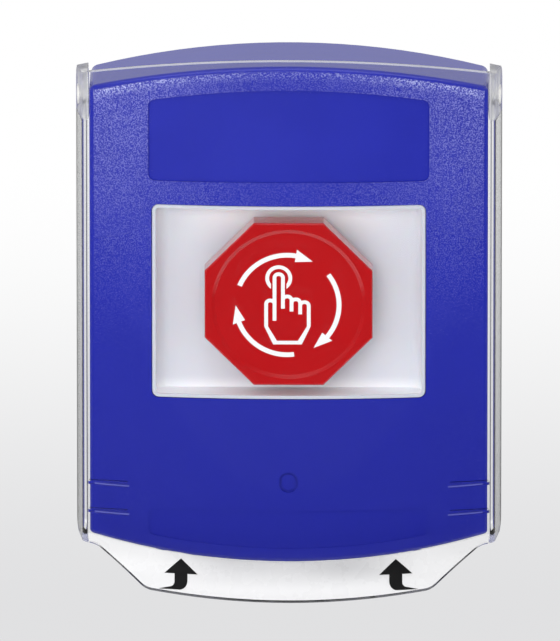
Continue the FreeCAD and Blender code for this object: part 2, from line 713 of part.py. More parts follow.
def target_ring():
    """The ring round the fingertip, open where the finger passes."""
    x = HAND_X
    z = BUTTON_Z + HAND_Z + FINGER_TIP - FINGER_WIDTH / 2
    ring = rod(TARGET_RADIUS + HAND_STROKE / 2, symbol_range(), x, z)
    ring = ring.cut(rod(TARGET_RADIUS - HAND_STROKE / 2, symbol_range(), x, z))
    half = FINGER_WIDTH / 2 + HAND_STROKE / 2 + TARGET_GAP
    reach = (BUTTON_Z - TARGET_RADIUS * 4, z)
    return ring.cut(box(centred(half, x), symbol_range(), reach))


def button_symbol():
    """White inlay, flush with the dished face: three turn arrows, a hand and a ring."""
    arrows = [arc_arrow(index) for index in range(ARROW_COUNT)]
    return arrows + [hand_symbol(), target_ring()]


# Bushing, nut, spring


def bushing():
    flange_front = TRAY_FLOOR_FRONT + BUSHING_FLANGE_THICKNESS
    body = rod(BUSHING_RADIUS, (BUSHING_REAR_FRONT, flange_front), 0, BUTTON_Z)
    body = body.fuse(rod(BUSHING_FLANGE_RADIUS, (TRAY_FLOOR_FRONT, flange_front), 0, BUTTON_Z))
    body = body.cut(rod(SPRING_POCKET_RADIUS, (WEB_FRONT, flange_front + 1), 0, BUTTON_Z))
    bore = (BUSHING_REAR_FRONT - 1, flange_front)
    return body.cut(rod(STEM_RADIUS + RUNNING_GAP, bore, 0, BUTTON_Z)).removeSplitter()


def hexagon_wire(flats):
    corner = flats / 2 / math.cos(math.radians(30))
    places = [around(0, 0, corner, 60 * index) for index in range(6)]
    return Part.makePolygon(places + places[:1])


def lock_nut():
    nut = prism(hexagon_wire(NUT_FLATS), (NUT_REAR, TRAY_BACK))
    nut.translate(Vector(0, 0, BUTTON_Z))
    rounding = rod(NUT_FLATS / 2 + NUT_CORNER_LEFT, (NUT_REAR, TRAY_BACK), 0, BUTTON_Z)
    nut = nut.common(rounding)
    return nut.cut(rod(BUSHING_RADIUS + SCREW_GAP, (NUT_REAR - 1, TRAY_BACK + 1), 0, BUTTON_Z))


def return_spring():
    """Coil spring round the stem, from the bushing's web to the head's ceiling."""
    half_wire = SPRING_WIRE / 2
    height = BUTTON_CEILING - WEB_FRONT - SPRING_WIRE - 2 * RUNNING_GAP
    path = Part.makeHelix(height / SPRING_COILS, height, SPRING_RADIUS)
    places = []
    for index in range(SPRING_WIRE_SIDES):
        place = around(SPRING_RADIUS, 0, half_wire, 360 * index / SPRING_WIRE_SIDES)
        places.append(place)
    section = Part.makePolygon(places + places[:1])
    coil = Part.Wire(path).makePipeShell([section], True, True)
    coil.rotate(Vector(0, 0, 0), Vector(1, 0, 0), 90)
    coil.translate(Vector(0, -(WEB_FRONT + half_wire + RUNNING_GAP), BUTTON_Z))
    return coil


def pusher():
    """Disc behind the bushing that the stem turns in; two lugs keep it from turning."""
    disc = rod(PUSHER_RADIUS, (PUSHER_REAR, PUSHER_FRONT), 0, BUTTON_Z)
    reach = PUSHER_RADIUS + PUSHER_LUG_REACH
    lugs = box(
        centred(PUSHER_LUG_WIDTH / 2), (PUSHER_REAR, PUSHER_FRONT), centred(reach, BUTTON_Z)
    )
    bore = rod(SPIGOT_RADIUS + RUNNING_GAP, (PUSHER_REAR - 1, PUSHER_FRONT + 1), 0, BUTTON_Z)
    return disc.fuse(lugs).cut(bore).removeSplitter()


def stem_clip():
    """Open retaining ring in the stem's groove behind the pusher."""
    seat = SPIGOT_RADIUS - CLIP_GROOVE_DEPTH + SCREW_GAP
    span = (CLIP_FRONT - CLIP_THICKNESS, CLIP_FRONT)
    ring = rod(CLIP_RADIUS, span, 0, BUTTON_Z).cut(rod(seat, span, 0, BUTTON_Z))
    mouth = box(centred(CLIP_MOUTH / 2), span, (BUTTON_Z - CLIP_RADIUS - 1, BUTTON_Z))
    return ring.cut(mouth)


# Contact carrier and blocks


def contact_carrier():
    half_height = CARRIER_HEIGHT / 2
    span = (CARRIER_REAR_FRONT, CARRIER_FRONT)
    body = rounded_prism(
        centred(CARRIER_WIDTH / 2), centred(half_height, BUTTON_Z), CARRIER_CORNER, span
    )
    bore = (CARRIER_REAR_FRONT - 1, CARRIER_FRONT + 1)
    body = body.cut(rod(BUSHING_RADIUS + SCREW_GAP, bore, 0, BUTTON_Z))
    slot_half = PUSHER_LUG_WIDTH / 2 + SEAT_GAP
    reach = PUSHER_RADIUS + PUSHER_LUG_REACH + SEAT_GAP
    slot_span = (CARRIER_REAR_FRONT - 1, BUSHING_REAR_FRONT)
    body = body.cut(box(centred(slot_half), slot_span, centred(reach, BUTTON_Z)))
    for direction in (-1, 1):
        for side in (-1, 1):
            body = body.cut(carrier_pocket(direction, side))
            body = body.fuse(carrier_hook(direction, side))
    return body.cut(carrier_screw_hole()).removeSplitter()


def carrier_pocket(direction, side):
    """Hollow in the carrier's front between its outer edge, screw rib and bore."""
    edge = BUTTON_Z + direction * (CARRIER_HEIGHT / 2 - CARRIER_EDGE)
    root = BUTTON_Z + direction * (BUSHING_RADIUS + 2 * CARRIER_EDGE)
    x_range = sorted((side * CARRIER_RIB_HALF, side * (CARRIER_WIDTH / 2 - CARRIER_EDGE)))
    front_range = (CARRIER_REAR_FRONT + CARRIER_EDGE, CARRIER_FRONT + 1)
    return box(x_range, front_range, sorted((edge, root)))


def carrier_hook(direction, side):
    """Arm with a barb that clips over one end of a contact block."""
    x_range = centred(HOOK_WIDTH / 2, side * BLOCK_PITCH / 2)
    outer = BLOCK_HEIGHT / 2 + HOOK_GAP + HOOK_THICKNESS
    inner = BLOCK_HEIGHT / 2 + HOOK_GAP
    end = CARRIER_REAR_FRONT - HOOK_LENGTH
    edge = BUTTON_Z + direction * outer
    arm_z = sorted((BUTTON_Z + direction * inner, edge))
    arm = box(x_range, (end, CARRIER_REAR_FRONT + 1), arm_z)
    barb_z = sorted((BUTTON_Z + direction * (inner - HOOK_BARB), edge))
    return arm.fuse(box(x_range, (end, end + HOOK_BARB_LENGTH), barb_z))


def carrier_screw_front():
    return (BUSHING_REAR_FRONT + CARRIER_FRONT) / 2


def carrier_screw_hole():
    start = Vector(0, -carrier_screw_front(), BUTTON_Z)
    return Part.makeCylinder(CARRIER_SCREW_RADIUS + SCREW_GAP, CARRIER_HEIGHT, start)


def carrier_screw():
    """Clamp screw from the top edge of the carrier down to the bushing."""
    low = BUTTON_Z + BUSHING_RADIUS + SCREW_GAP
    high = BUTTON_Z + CARRIER_HEIGHT / 2
    y = -carrier_screw_front()
    shank = Part.makeCylinder(CARRIER_SCREW_RADIUS, high - low, Vector(0, y, low))
    head = Part.makeCylinder(CARRIER_SCREW_HEAD_RADIUS, CARRIER_SCREW_HEAD, Vector(0, y, high))
    top = high + CARRIER_SCREW_HEAD
    slot_span = centred(SLOT_WIDTH / 2, carrier_screw_front())
    slot = box(centred(CARRIER_SCREW_HEAD_RADIUS + 1), slot_span, (top - SLOT_DEPTH, top + 1))
    return shank.fuse(head).cut(slot).removeSplitter()


def block_x(side):
    return side * BLOCK_PITCH / 2


def terminal_z(direction):
    return BUTTON_Z + direction * (BLOCK_HEIGHT / 2 - BLOCK_STEP_HEIGHT / 2)


def step_front():
    return BLOCK_REAR + BLOCK_STEP_DEPTH


def contact_block(side):
    x = block_x(side)
    x_range = centred(BLOCK_WIDTH / 2, x)
    body = box(x_range, (BLOCK_REAR, CARRIER_REAR_FRONT), centred(BLOCK_HEIGHT / 2, BUTTON_Z))
    bore_end = CARRIER_REAR_FRONT - CONTACT_PLUNGER_IN_BLOCK - BUTTON_TRAVEL - SEAT_GAP
    bore_range = (bore_end, CARRIER_REAR_FRONT + 1)
    body = body.cut(rod(CONTACT_PLUNGER_RADIUS + RUNNING_GAP, bore_range, x, BUTTON_Z))
    for direction in (-1, 1):
        end = BUTTON_Z + direction * (BLOCK_HEIGHT / 2 + 1)
        step = sorted((end, BUTTON_Z + direction * (BLOCK_HEIGHT / 2 - BLOCK_STEP_HEIGHT)))
        body = body.cut(box(x_range, (BLOCK_REAR - 1, step_front()), step))
        body = body.cut(barb_notch(x, direction))
        wire_z = sorted((end, terminal_z(direction)))
        wire_range = (step_front() - 1, step_front() + WIRE_SLOT_DEPTH)
        body = body.cut(box(centred(WIRE_SLOT_WIDTH / 2, x), wire_range, wire_z))
        hole = (step_front() - 1, step_front() + TERMINAL_SCREW_IN_BLOCK + SEAT_GAP)
        z = terminal_z(direction)
        body = body.cut(rod(TERMINAL_SCREW_RADIUS + SCREW_GAP, hole, x, z))
    return body.removeSplitter()


def barb_notch(x, direction):
    """Notch in one end of a contact block for the carrier hook's barb."""
    low = CARRIER_REAR_FRONT - HOOK_LENGTH - SEAT_GAP
    high = low + HOOK_BARB_LENGTH + 2 * SEAT_GAP
    floor = BUTTON_Z + direction * (BLOCK_HEIGHT / 2 - HOOK_BARB - HOOK_GAP)
    end = BUTTON_Z + direction * (BLOCK_HEIGHT / 2 + 1)
    return box(centred(HOOK_WIDTH / 2 + SEAT_GAP, x), (low, high), sorted((floor, end)))


def contact_plungers():
    end = CARRIER_REAR_FRONT - CONTACT_PLUNGER_IN_BLOCK
    pins = []
    for side in (-1, 1):
        pins.append(rod(CONTACT_PLUNGER_RADIUS, (end, PUSHER_REAR), block_x(side), BUTTON_Z))
    return pins


def terminal_places():
    return [(block_x(side), terminal_z(direction)) for side in (-1, 1) for direction in (-1, 1)]


def terminal_clamps():
    clamps = []
    for x, z in terminal_places():
        span = (step_front() - CLAMP_THICKNESS, step_front())
        plate = box(centred(CLAMP_SIDE / 2, x), span, centred(CLAMP_SIDE / 2, z))
        hole = rod(TERMINAL_SCREW_RADIUS + SCREW_GAP, (span[0] - 1, span[1] + 1), x, z)
        clamps.append(plate.cut(hole))
    return clamps


def terminal_screws():
    seat = step_front() - CLAMP_THICKNESS
    shank = (TERMINAL_SCREW_RADIUS, TERMINAL_SCREW_IN_BLOCK + CLAMP_THICKNESS)
    head = (TERMINAL_HEAD_RADIUS, TERMINAL_HEAD)
    return [screw_facing_wall(shank, head, seat, x, z) for x, z in terminal_places()]


# Mounting plate


def mounting_plate():
    """Pressed steel plate with side flanges, two hook tabs and the lock screw's tab."""
    half = PLATE_HALF_WIDTH
    flat = (0, PLATE_THICKNESS)
    plate = rounded_prism(centred(half), centred(PLATE_HALF), PLATE_CORNER, flat)
    opening = rounded_prism(
        centred(PLATE_OPENING_WIDTH / 2), centred(PLATE_OPENING_HEIGHT / 2, BUTTON_Z),
        PLATE_OPENING_CORNER, (-1, PLATE_THICKNESS + 1),
    )
    plate = plate.cut(opening)
    for side in (-1, 1):
        hole_z = side * BOX_SCREW_SPACING / 2
        plate = plate.cut(rod(BOX_SCREW_HOLE_RADIUS, (-1, PLATE_THICKNESS + 1), 0, hole_z))
        edge = sorted((side * half, side * (half - PLATE_THICKNESS)))
        flange_z = centred(PLATE_HALF - 2 * PLATE_CORNER)
        plate = plate.fuse(box(edge, (0, PLATE_SIDE_FLANGE), flange_z))
        plate = plate.fuse(hook_tab(side))
    return plate.fuse(lock_tab()).removeSplitter()


def hook_tab(side):
    """Tab at the plate's top edge, bent forward, with a slot for the housing's nib."""
    top = hook_tab_top()
    x_range = centred(HOOK_TAB_WIDTH / 2, side * HOOK_TAB_X)
    riser = box(x_range, (0, PLATE_THICKNESS), (PLATE_HALF - 1, top))
    tab = box(x_range, (0, HOOK_TAB_LENGTH), (top - PLATE_THICKNESS, top))
    slot_x = centred(NIB_WIDTH / 2 + NIB_GAP, side * HOOK_TAB_X)
    slot_span = (NIB_FRONT - NIB_GAP, NIB_FRONT + NIB_LENGTH + NIB_GAP)
    slot = box(slot_x, slot_span, (top - 2 * PLATE_THICKNESS, top + 1))
    return riser.fuse(tab).cut(slot)


def lock_tab_bottom():
    return -arch_z(LOCK_TAB_WIDTH / 2, HOUSING_WALL) + HOOK_TAB_GAP


def lock_tab():
    low = lock_tab_bottom()
    x_range = centred(LOCK_TAB_WIDTH / 2)
    riser = box(x_range, (0, PLATE_THICKNESS), (low, 1 - PLATE_HALF))
    tab = box(x_range, (0, LOCK_TAB_LENGTH), (low, low + PLATE_THICKNESS))
    start = Vector(0, -LOCK_SCREW_FRONT, low - 1)
    hole = Part.makeCylinder(LOCK_SCREW_RADIUS + SCREW_GAP, PLATE_THICKNESS + 2, start)
    return riser.fuse(tab).cut(hole)


def lock_screw():
    """Screw up through the housing's bottom wall into the plate's tab."""
    seat = -arch_z(0) + LOCK_HEAD_SINK
    y = -LOCK_SCREW_FRONT
    shank = Part.makeCylinder(LOCK_SCREW_RADIUS, LOCK_SCREW_LENGTH, Vector(0, y, seat))
    head = Part.makeCylinder(LOCK_HEAD_RADIUS, LOCK_HEAD, Vector(0, y, seat - LOCK_HEAD))
    socket = prism(hexagon_wire(LOCK_SOCKET_FLATS), (0, SLOT_DEPTH + 1))
    socket.rotate(Vector(0, 0, 0), Vector(1, 0, 0), -90)
    socket.translate(Vector(0, y, seat - LOCK_HEAD - 1))
    return shank.fuse(head).cut(socket).removeSplitter()


# Clear cover


def revolved_front(setback):
    """Everything behind the cover's front face, lip included, moved back by setback."""
    low = LIP_BOTTOM - PAST
    high = COVER_TOP_SIDE + COVER_TOP_RISE + PAST
    radius = COVER_RADIUS - setback
    bend = LIP_BEND_RADIUS + setback
    bend_x = COVER_RADIUS + LIP_BEND_RADIUS
    start = Vector(radius, 0, LIP_BEND_Z)
    middle = around(bend_x, LIP_BEND_Z, bend, 180 + LIP_BEND_TURN / 2)
    end = around(bend_x, LIP_BEND_Z, bend, 180 + LIP_BEND_TURN)
    spread = (end.z - low) * math.tan(math.radians(LIP_BEND_TURN))
    foot = Vector(end.x + spread, 0, low)
    profile = [Vector(0, 0, low), foot, end]
    edges = [Part.makeLine(a, b) for a, b in zip(profile, profile[1:])]
    edges.append(Part.Arc(end, middle, start).toShape())
    profile = [start, Vector(radius, 0, high), Vector(0, 0, high), Vector(0, 0, low)]
    edges.extend(Part.makeLine(a, b) for a, b in zip(profile, profile[1:]))
    face = Part.Face(Part.Wire(edges))
    face.rotate(Vector(0, 0, 0), Vector(0, 0, 1), -135)
    solid = face.revolve(Vector(0, 0, 0), Vector(0, 0, 1), 90)
    solid.translate(Vector(0, COVER_AXIS_Y, 0))
    return solid


def tapered_sides(inset):
    """The space between the cover's side walls, which spread towards the wall."""
    low = LIP_BOTTOM - PAST
    high = COVER_TOP_SIDE + COVER_TOP_RISE + PAST
    slope = COVER_SIDE_FLARE / (COVER_SIDE_FRONT - COVER_REAR_FRONT)
    ahead = COVER_CENTRE_FRONT + LIP_BEND_RADIUS
    rear = COVER_HALF_WIDTH + COVER_SIDE_FLARE - inset
    front = rear - slope * (ahead - COVER_REAR_FRONT)
    places = [
        Vector(-rear, -COVER_REAR_FRONT, low),
        Vector(-front, -ahead, low),
        Vector(front, -ahead, low),
        Vector(rear, -COVER_REAR_FRONT, low),
    ]
    face = Part.Face(Part.makePolygon(places + places[:1]))
    return face.extrude(Vector(0, 0, high - low))


def cover_outline():
    """The cover seen from the front: arched top, rounded lip at the bottom."""
    wide = PAST_COVER_SIDE
    crown = Vector(0, 0, COVER_TOP_SIDE + COVER_TOP_RISE)
    top_left = Vector(-wide, 0, COVER_TOP_SIDE)
    top_right = Vector(wide, 0, COVER_TOP_SIDE)
    side_right = Vector(wide, 0, COVER_BOTTOM_SIDE)
    shoulder_right = Vector(LIP_SHOULDER_X, 0, LIP_SHOULDER_Z)
    corner_right = Vector(LIP_CORNER_X, 0, LIP_BOTTOM + LIP_CORNER_RISE)
    lowest = Vector(0, 0, LIP_BOTTOM)
    corner_left = Vector(-LIP_CORNER_X, 0, corner_right.z)
    shoulder_left = Vector(-LIP_SHOULDER_X, 0, LIP_SHOULDER_Z)
    side_left = Vector(-wide, 0, COVER_BOTTOM_SIDE)
    edges = [
        Part.Arc(top_left, crown, top_right).toShape(),
        Part.makeLine(top_right, side_right),
        Part.makeLine(side_right, shoulder_right),
        Part.makeLine(shoulder_right, corner_right),
        Part.Arc(corner_right, lowest, corner_left).toShape(),
        Part.makeLine(corner_left, shoulder_left),
        Part.makeLine(shoulder_left, side_left),
        Part.makeLine(side_left, top_left),
    ]
    reach = COVER_CENTRE_FRONT + 2 * LIP_BEND_RADIUS
    block = prism(Part.Wire(edges), (0, reach))
    return round_upright_edges(block, LIP_CORNER_ROUND, lambda x, z: abs(x) < wide - 1)


def cover_volume(inset):
    return revolved_front(inset).common(tapered_sides(inset))


def long_upright_edges(shell):
    """The straight corner edges between the cover's front and its side walls."""
    edges = []
    for edge in shell.Edges:
        start, end = edge.Vertexes[0].Point, edge.Vertexes[-1].Point
        sideways = abs(start.x - end.x) + abs(start.y - end.y)
        ahead = -start.y > (COVER_REAR_FRONT + COVER_SIDE_FRONT) / 2
        outermost = abs(start.x) > HALF_WIDTH - 1
        if sideways < 1e-3 and ahead and outermost and edge.Length > HALF_SIDE:
            edges.append(edge)
    return edges


def cover_shell():
    shell = cover_volume(0).cut(cover_volume(COVER_WALL)).common(cover_outline())
    edges = long_upright_edges(shell)
    outer = [edge for edge in edges if not is_inner_corner(edge)]
    shell = shell.makeFillet(COVER_EDGE_ROUND, outer)
    inner = [edge for edge in long_upright_edges(shell) if is_inner_corner(edge)]
    return shell.makeFillet(COVER_EDGE_ROUND / 2, inner)


def is_inner_corner(edge):
    place = edge.Vertexes[0].Point
    reach = math.hypot(place.x, place.y - COVER_AXIS_Y)
    return abs(reach - (COVER_RADIUS - COVER_WALL)) < 1e-3 and abs(place.x) > HALF_WIDTH


def cover_ear(side):
    """Thick top of a side wall, which holds the hinge pin."""
    x_range = sorted((side * (HALF_WIDTH + EAR_GAP), side * PAST_COVER_SIDE))
    front_range = (COVER_REAR_FRONT, COVER_SIDE_FRONT - COVER_EDGE_ROUND)
    block = box(x_range, front_range, (EAR_BOTTOM, COVER_TOP_SIDE + COVER_TOP_RISE))
    return block.common(cover_volume(0))


def cover_rib(index, side):
    """Thin rib in a lower corner that rests against the housing's front."""
    z = RIB_LOW_Z + index * RIB_SPACING
    x_range = sorted((side * RIB_INNER_X, side * (HALF_WIDTH + EAR_GAP)))
    bar = box(x_range, (COVER_REAR_FRONT, COVER_CENTRE_FRONT), centred(RIB_THICKNESS / 2, z))
    return bar.common(cover_volume(COVER_WALL)).cut(behind_front(-SEAT_GAP))


def is_rear_corner(edge):
    """Whether an edge is a side wall's short top or bottom edge at its rear."""
    at_rear = all(abs(vertex.Y + COVER_REAR_FRONT) < 1e-3 for vertex in edge.Vertexes)
    return at_rear and abs(edge.BoundBox.Center.z) > HALF_SIDE and edge.Length < PAST


def clear_cover():
    cover = cover_shell()
    for side in (-1, 1):
        cover = cover.fuse(cover_ear(side).common(cover_outline()))
        for index in range(RIB_COUNT):
            cover = cover.fuse(cover_rib(index, side))
    cover = cover.removeSplitter()
    corners = [edge for edge in cover.Edges if is_rear_corner(edge)]
    cover = cover.makeFillet(COVER_CORNER_ROUND, corners)
    for side in (-1, 1):
        bore_range = (HALF_WIDTH, PAST_COVER_SIDE)
        cover = cover.cut(hinge_rod(side, HINGE_PIN_RADIUS + RUNNING_GAP, bore_range))
        sink_range = (hinge_head_seat(), PAST_COVER_SIDE)
        cover = cover.cut(hinge_rod(side, HINGE_HEAD_RADIUS + SEAT_GAP, sink_range))
    return cover.removeSplitter()


def hinge_head_seat():
    return COVER_HALF_WIDTH + COVER_SIDE_FLARE - HINGE_HEAD_SINK


def hinge_pins():
    """Headed pins pressed into the housing's sides through the cover's ears."""
    seat = hinge_head_seat() + RUNNING_GAP
    pins = []
    for side in (-1, 1):
        shank = hinge_rod(side, HINGE_PIN_RADIUS, (PIN_BOSS_END, seat))
        head = hinge_rod(side, HINGE_HEAD_RADIUS, (seat, seat + HINGE_HEAD))
        pins.append(shank.fuse(head).removeSplitter())
    return pins


# Label on the lip


def skin(inside, outside):
    """A thin layer on the cover's front between two distances ahead of its face."""
    return revolved_front(-outside).cut(revolved_front(-inside))


def cover_label():
    side = LIP_SHOULDER_X + 2
    top = Part.Arc(
        Vector(side, 0, LABEL_TOP_SIDE),
        Vector(0, 0, LABEL_TOP_SIDE - LABEL_TOP_DROP),
        Vector(-side, 0, LABEL_TOP_SIDE),
    ).toShape()
    corner_z = LIP_BOTTOM + LIP_CORNER_RISE + LABEL_MARGIN
    shoulder_z = LIP_SHOULDER_Z + LABEL_MARGIN
    left = [(-side, LABEL_TOP_SIDE), (-side, shoulder_z + 0.3), (-LIP_SHOULDER_X, shoulder_z)]
    left.append((-LIP_CORNER_X, corner_z))
    places = [Vector(x, 0, z) for x, z in left]
    edges = [top]
    edges.extend(Part.makeLine(a, b) for a, b in zip(places, places[1:]))
    lowest = Vector(0, 0, LIP_BOTTOM + LABEL_MARGIN)
    edges.append(Part.Arc(places[-1], lowest, Vector(LIP_CORNER_X, 0, corner_z)).toShape())
    back = [Vector(-x, 0, z) for x, z in reversed(left)]
    edges.extend(Part.makeLine(a, b) for a, b in zip(back, back[1:]))
    block = prism(Part.Wire(edges), (0, COVER_CENTRE_FRONT + 2 * LIP_BEND_RADIUS))
    block = round_upright_edges(
        block, LIP_CORNER_ROUND, lambda x, z: abs(x) < side - 1 and z < shoulder_z - 2
    )
    return block.common(skin(0, LABEL_THICKNESS))


def lift_arrow(side):
    """Arrow that points up, its shaft swept to a thin tail towards the label's outer end."""
    base = LIFT_ARROW_TIP_Z - LIFT_ARROW_HEAD_HEIGHT
    half = LIFT_ARROW_HEAD_HALF
    shaft = LIFT_ARROW_SHAFT_HALF
    end = base - LIFT_ARROW_SHAFT_DROP
    places = [
        arrow_place(side, 0, LIFT_ARROW_TIP_Z),
        arrow_place(side, half, base),
        arrow_place(side, shaft, base),
        arrow_place(side, shaft, end + LIFT_ARROW_TAIL_THICKNESS),
        arrow_place(side, LIFT_ARROW_TAIL_OUT, end),
        arrow_place(side, -shaft, end),
        arrow_place(side, -shaft, base),
        arrow_place(side, -half, base),
    ]
    wire = polygon([(place.x, place.z) for place in places])
    block = prism(wire, (0, COVER_CENTRE_FRONT + 2 * LIP_BEND_RADIUS))
    low = base - LIFT_ARROW_SHAFT_DROP / 2
    near = LIFT_ARROW_X + (shaft + LIFT_ARROW_TAIL_OUT) / 2
    block = round_upright_edges(
        block, LIFT_ARROW_ELBOW, lambda x, z: z < low and LIFT_ARROW_X < abs(x) < near
    )
    block = round_upright_edges(
        block, LIFT_ARROW_BELLY, lambda x, z: z < low and abs(x) < LIFT_ARROW_X
    )
    return block.common(skin(LABEL_THICKNESS, LABEL_THICKNESS + INK_THICKNESS))


def arrow_place(side, outwards, z):
    return Vector(side * (LIFT_ARROW_X + outwards), 0, z)


def label_arrows():
    return [lift_arrow(side) for side in (-1, 1)]


NODES = {
    "front_housing": front_housing,
    "window_tray": window_tray,
    "tray_screws": tray_screws,
    "mounting_plate": mounting_plate,
    "lock_screw": lock_screw,
    "clear_cover": clear_cover,
    "hinge_pins": hinge_pins,
    "cover_label": cover_label,
    "label_arrows": label_arrows,
    "button_cap": button_cap,
    "button_symbol": button_symbol,
    "return_spring": return_spring,
    "bushing": bushing,
    "lock_nut": lock_nut,
    "pusher": pusher,
    "stem_clip": stem_clip,
    "contact_carrier": contact_carrier,
    "carrier_screw": carrier_screw,
    "contact_block_no": lambda: contact_block(-1),
    "contact_block_nc": lambda: contact_block(1),
    "contact_plungers": contact_plungers,
    "terminal_clamps": terminal_clamps,
    "terminal_screws": terminal_screws,
}


def main():
    os.makedirs("parts", exist_ok=True)
    for name, make in NODES.items():
        made = make()
        shape = Part.makeCompound(made) if isinstance(made, list) else made
        shape.exportStep(os.path.join("parts", name + ".step"))
        print(name, len(shape.Solids), "solids", round(shape.Volume, 1), "mm3", shape.isValid())


main()
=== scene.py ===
import math

import bpy
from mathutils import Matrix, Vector


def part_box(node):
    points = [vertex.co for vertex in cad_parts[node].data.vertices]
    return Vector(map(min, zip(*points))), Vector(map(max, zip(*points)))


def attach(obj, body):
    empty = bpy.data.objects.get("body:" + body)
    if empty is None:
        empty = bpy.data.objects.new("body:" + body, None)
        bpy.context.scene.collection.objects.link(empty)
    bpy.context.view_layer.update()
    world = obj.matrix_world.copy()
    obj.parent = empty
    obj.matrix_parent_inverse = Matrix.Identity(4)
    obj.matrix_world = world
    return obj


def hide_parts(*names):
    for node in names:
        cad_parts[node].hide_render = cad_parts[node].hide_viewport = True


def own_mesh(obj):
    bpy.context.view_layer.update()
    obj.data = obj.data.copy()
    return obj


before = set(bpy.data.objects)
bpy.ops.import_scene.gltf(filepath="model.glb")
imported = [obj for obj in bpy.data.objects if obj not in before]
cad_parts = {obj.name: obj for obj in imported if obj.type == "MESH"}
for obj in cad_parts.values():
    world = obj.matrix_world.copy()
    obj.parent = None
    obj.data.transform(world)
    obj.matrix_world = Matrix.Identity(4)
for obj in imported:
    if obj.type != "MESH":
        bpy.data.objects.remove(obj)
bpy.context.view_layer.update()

# The photograph's view. Lengths in metres, angles in degrees.
IMAGE_WIDTH = 560
IMAGE_HEIGHT = 641
PIXELS_PER_METRE = 4180
ORIGIN_PIXEL = (289.6, 289.3)
CAMERA_AZIMUTH = 0.55
CAMERA_ELEVATION = 15.0
CAMERA_LENS_MM = 1370.0
SENSOR_MM = 36.0
# The picture's scale holds at about this depth in front of the wall, at the cover's front
SCALE_DEPTH = 0.0155

# The studio: a pale floor well below the station, so that its shadow falls out of view
FLOOR_DEPTH = 0.30
FLOOR_HALF = 3.0

# The studio's light. The room in front of the station is dim in reflections.
BACKGROUND_RAYS = ("Is Camera Ray", "Is Glossy Ray", "Is Transmission Ray")
WORLD_LIGHT = 0.43
FRONT_REFLECTION = 0.004
# The cover mirrors the floor: a pale part of it further off and a dark part nearer
PALE_FLOOR_Y = -0.973
PALE_FLOOR_FADE = 0.02
PALE_FLOOR_GLOW = 0.05
NEAR_FLOOR_FAR_Y = -0.70
NEAR_FLOOR_NEAR_Y = -0.40
# Dark cards behind the station, at both sides, show only in reflections
CARD_X = ((0.18, 0.24), (0.50, 0.60))
CARD_Y = (0.55, 0.70)
CARD_REFLECTION = 0.40
# The floor behind the station greys towards the picture's lower edge
GREY_FLOOR_Y = 0.767
WHITE_FLOOR_Y = 1.273

# Colours as linear values
HOUSING_BLUE = (0.0160, 0.0235, 0.410)
HOUSING_BLUE_DARK = (0.0140, 0.0210, 0.385)
# Towards the bottom the plastic is smoother, and painted shade makes its blue darker there
HOUSING_BLUE_SHADED = (0.0112, 0.0165, 0.325)
SHADE_LOW_Z = -0.060
SHADE_HIGH_Z = 0.030
# Painted glints: the lighter blue of the grain's sparkle
GRAIN_GLINT_BLUE = (0.24, 0.245, 0.66)
TRAY_WHITE = (0.76, 0.775, 0.83)
# Painted shade: the tray's rim is painted darker than its floor
TRAY_RIM_SHADE = (0.64, 0.65, 0.71)
# Painted light: above the button and at its sill the tray is painted a lighter white than in its
# middle
TRAY_PAINTED_LIGHT = (0.96, 0.96, 0.98)
TRAY_TOP_Z = (0.014, 0.024)
TRAY_TOP_X = (0.013, 0.028)
TRAY_TOP_SIDE = 0.30
TRAY_SILL_Z = (-0.0205, -0.0165)
BUTTON_RED = (0.50, 0.0030, 0.0055)
SYMBOL_WHITE = (0.95, 0.94, 0.94)
LABEL_WHITE = (0.74, 0.74, 0.75)
# Painted shade greys the label towards the middle of its upper edge
LABEL_SHADE = (0.50, 0.50, 0.515)
LABEL_SHADE_Z = (-0.0658, -0.0602)
LABEL_SHADE_X = (0.012, 0.034)
INK_BLACK = (0.0055, 0.0055, 0.006)
COVER_TINT = (0.975, 0.980, 0.988)
COVER_RIM_SHADE = (0.10, 0.10, 0.11)
STEEL = (0.60, 0.61, 0.62)
SPRING_STEEL = (0.42, 0.42, 0.43)
BRASS = (0.60, 0.44, 0.17)
FRAME_BLACK = (0.020, 0.020, 0.022)
BLOCK_GREY = (0.17, 0.18, 0.19)
BLOCK_RED = (0.30, 0.018, 0.014)
PLUNGER_WHITE = (0.74, 0.73, 0.69)

# The housing's bowed front is a cylinder about an upright axis behind it
HOUSING_LOW, HOUSING_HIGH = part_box("front_housing")
HOUSING_HALF = HOUSING_HIGH.x
FRONT_BOW = 0.0048
BOW_RADIUS = (HOUSING_HALF**2 + FRONT_BOW**2) / (2 * FRONT_BOW)
BOW_AXIS_Y = HOUSING_LOW.y + BOW_RADIUS
TEXTURE_DEPTH = 0.00010
TEXTURE_FADE = 0.00006
TRAY_RIM_DEPTH = 0.0005
TRAY_RIM_FADE = 0.0004
# The blasted grain and its painted glints stand out at the top and towards the sides, and fade
# nearly smooth lower down
GRAIN_SIZE = 0.00030
GRAIN_HEIGHT = 0.00009
GRAIN_GLINT_NONE_Z = -0.012
GRAIN_GLINT_FULL_Z = 0.066
GRAIN_GLINT_CENTRE = 0.30
GRAIN_GLINT_LEAST = 0.03
# A smooth border runs round the grain, and painted glints of bright flecks stand below its upper
# edge
ARCH_RISE = 0.006
ARCH_RADIUS = (HOUSING_HALF**2 + ARCH_RISE**2) / (2 * ARCH_RISE)
BORDER = (0.0009, 0.0013)
FLECK_GLINT_BAND = (0.0015, 0.0038)
FLECK_GLINT_SIZE = 0.00040
FLECK_GLINT_BLUE = (0.52, 0.55, 0.88)

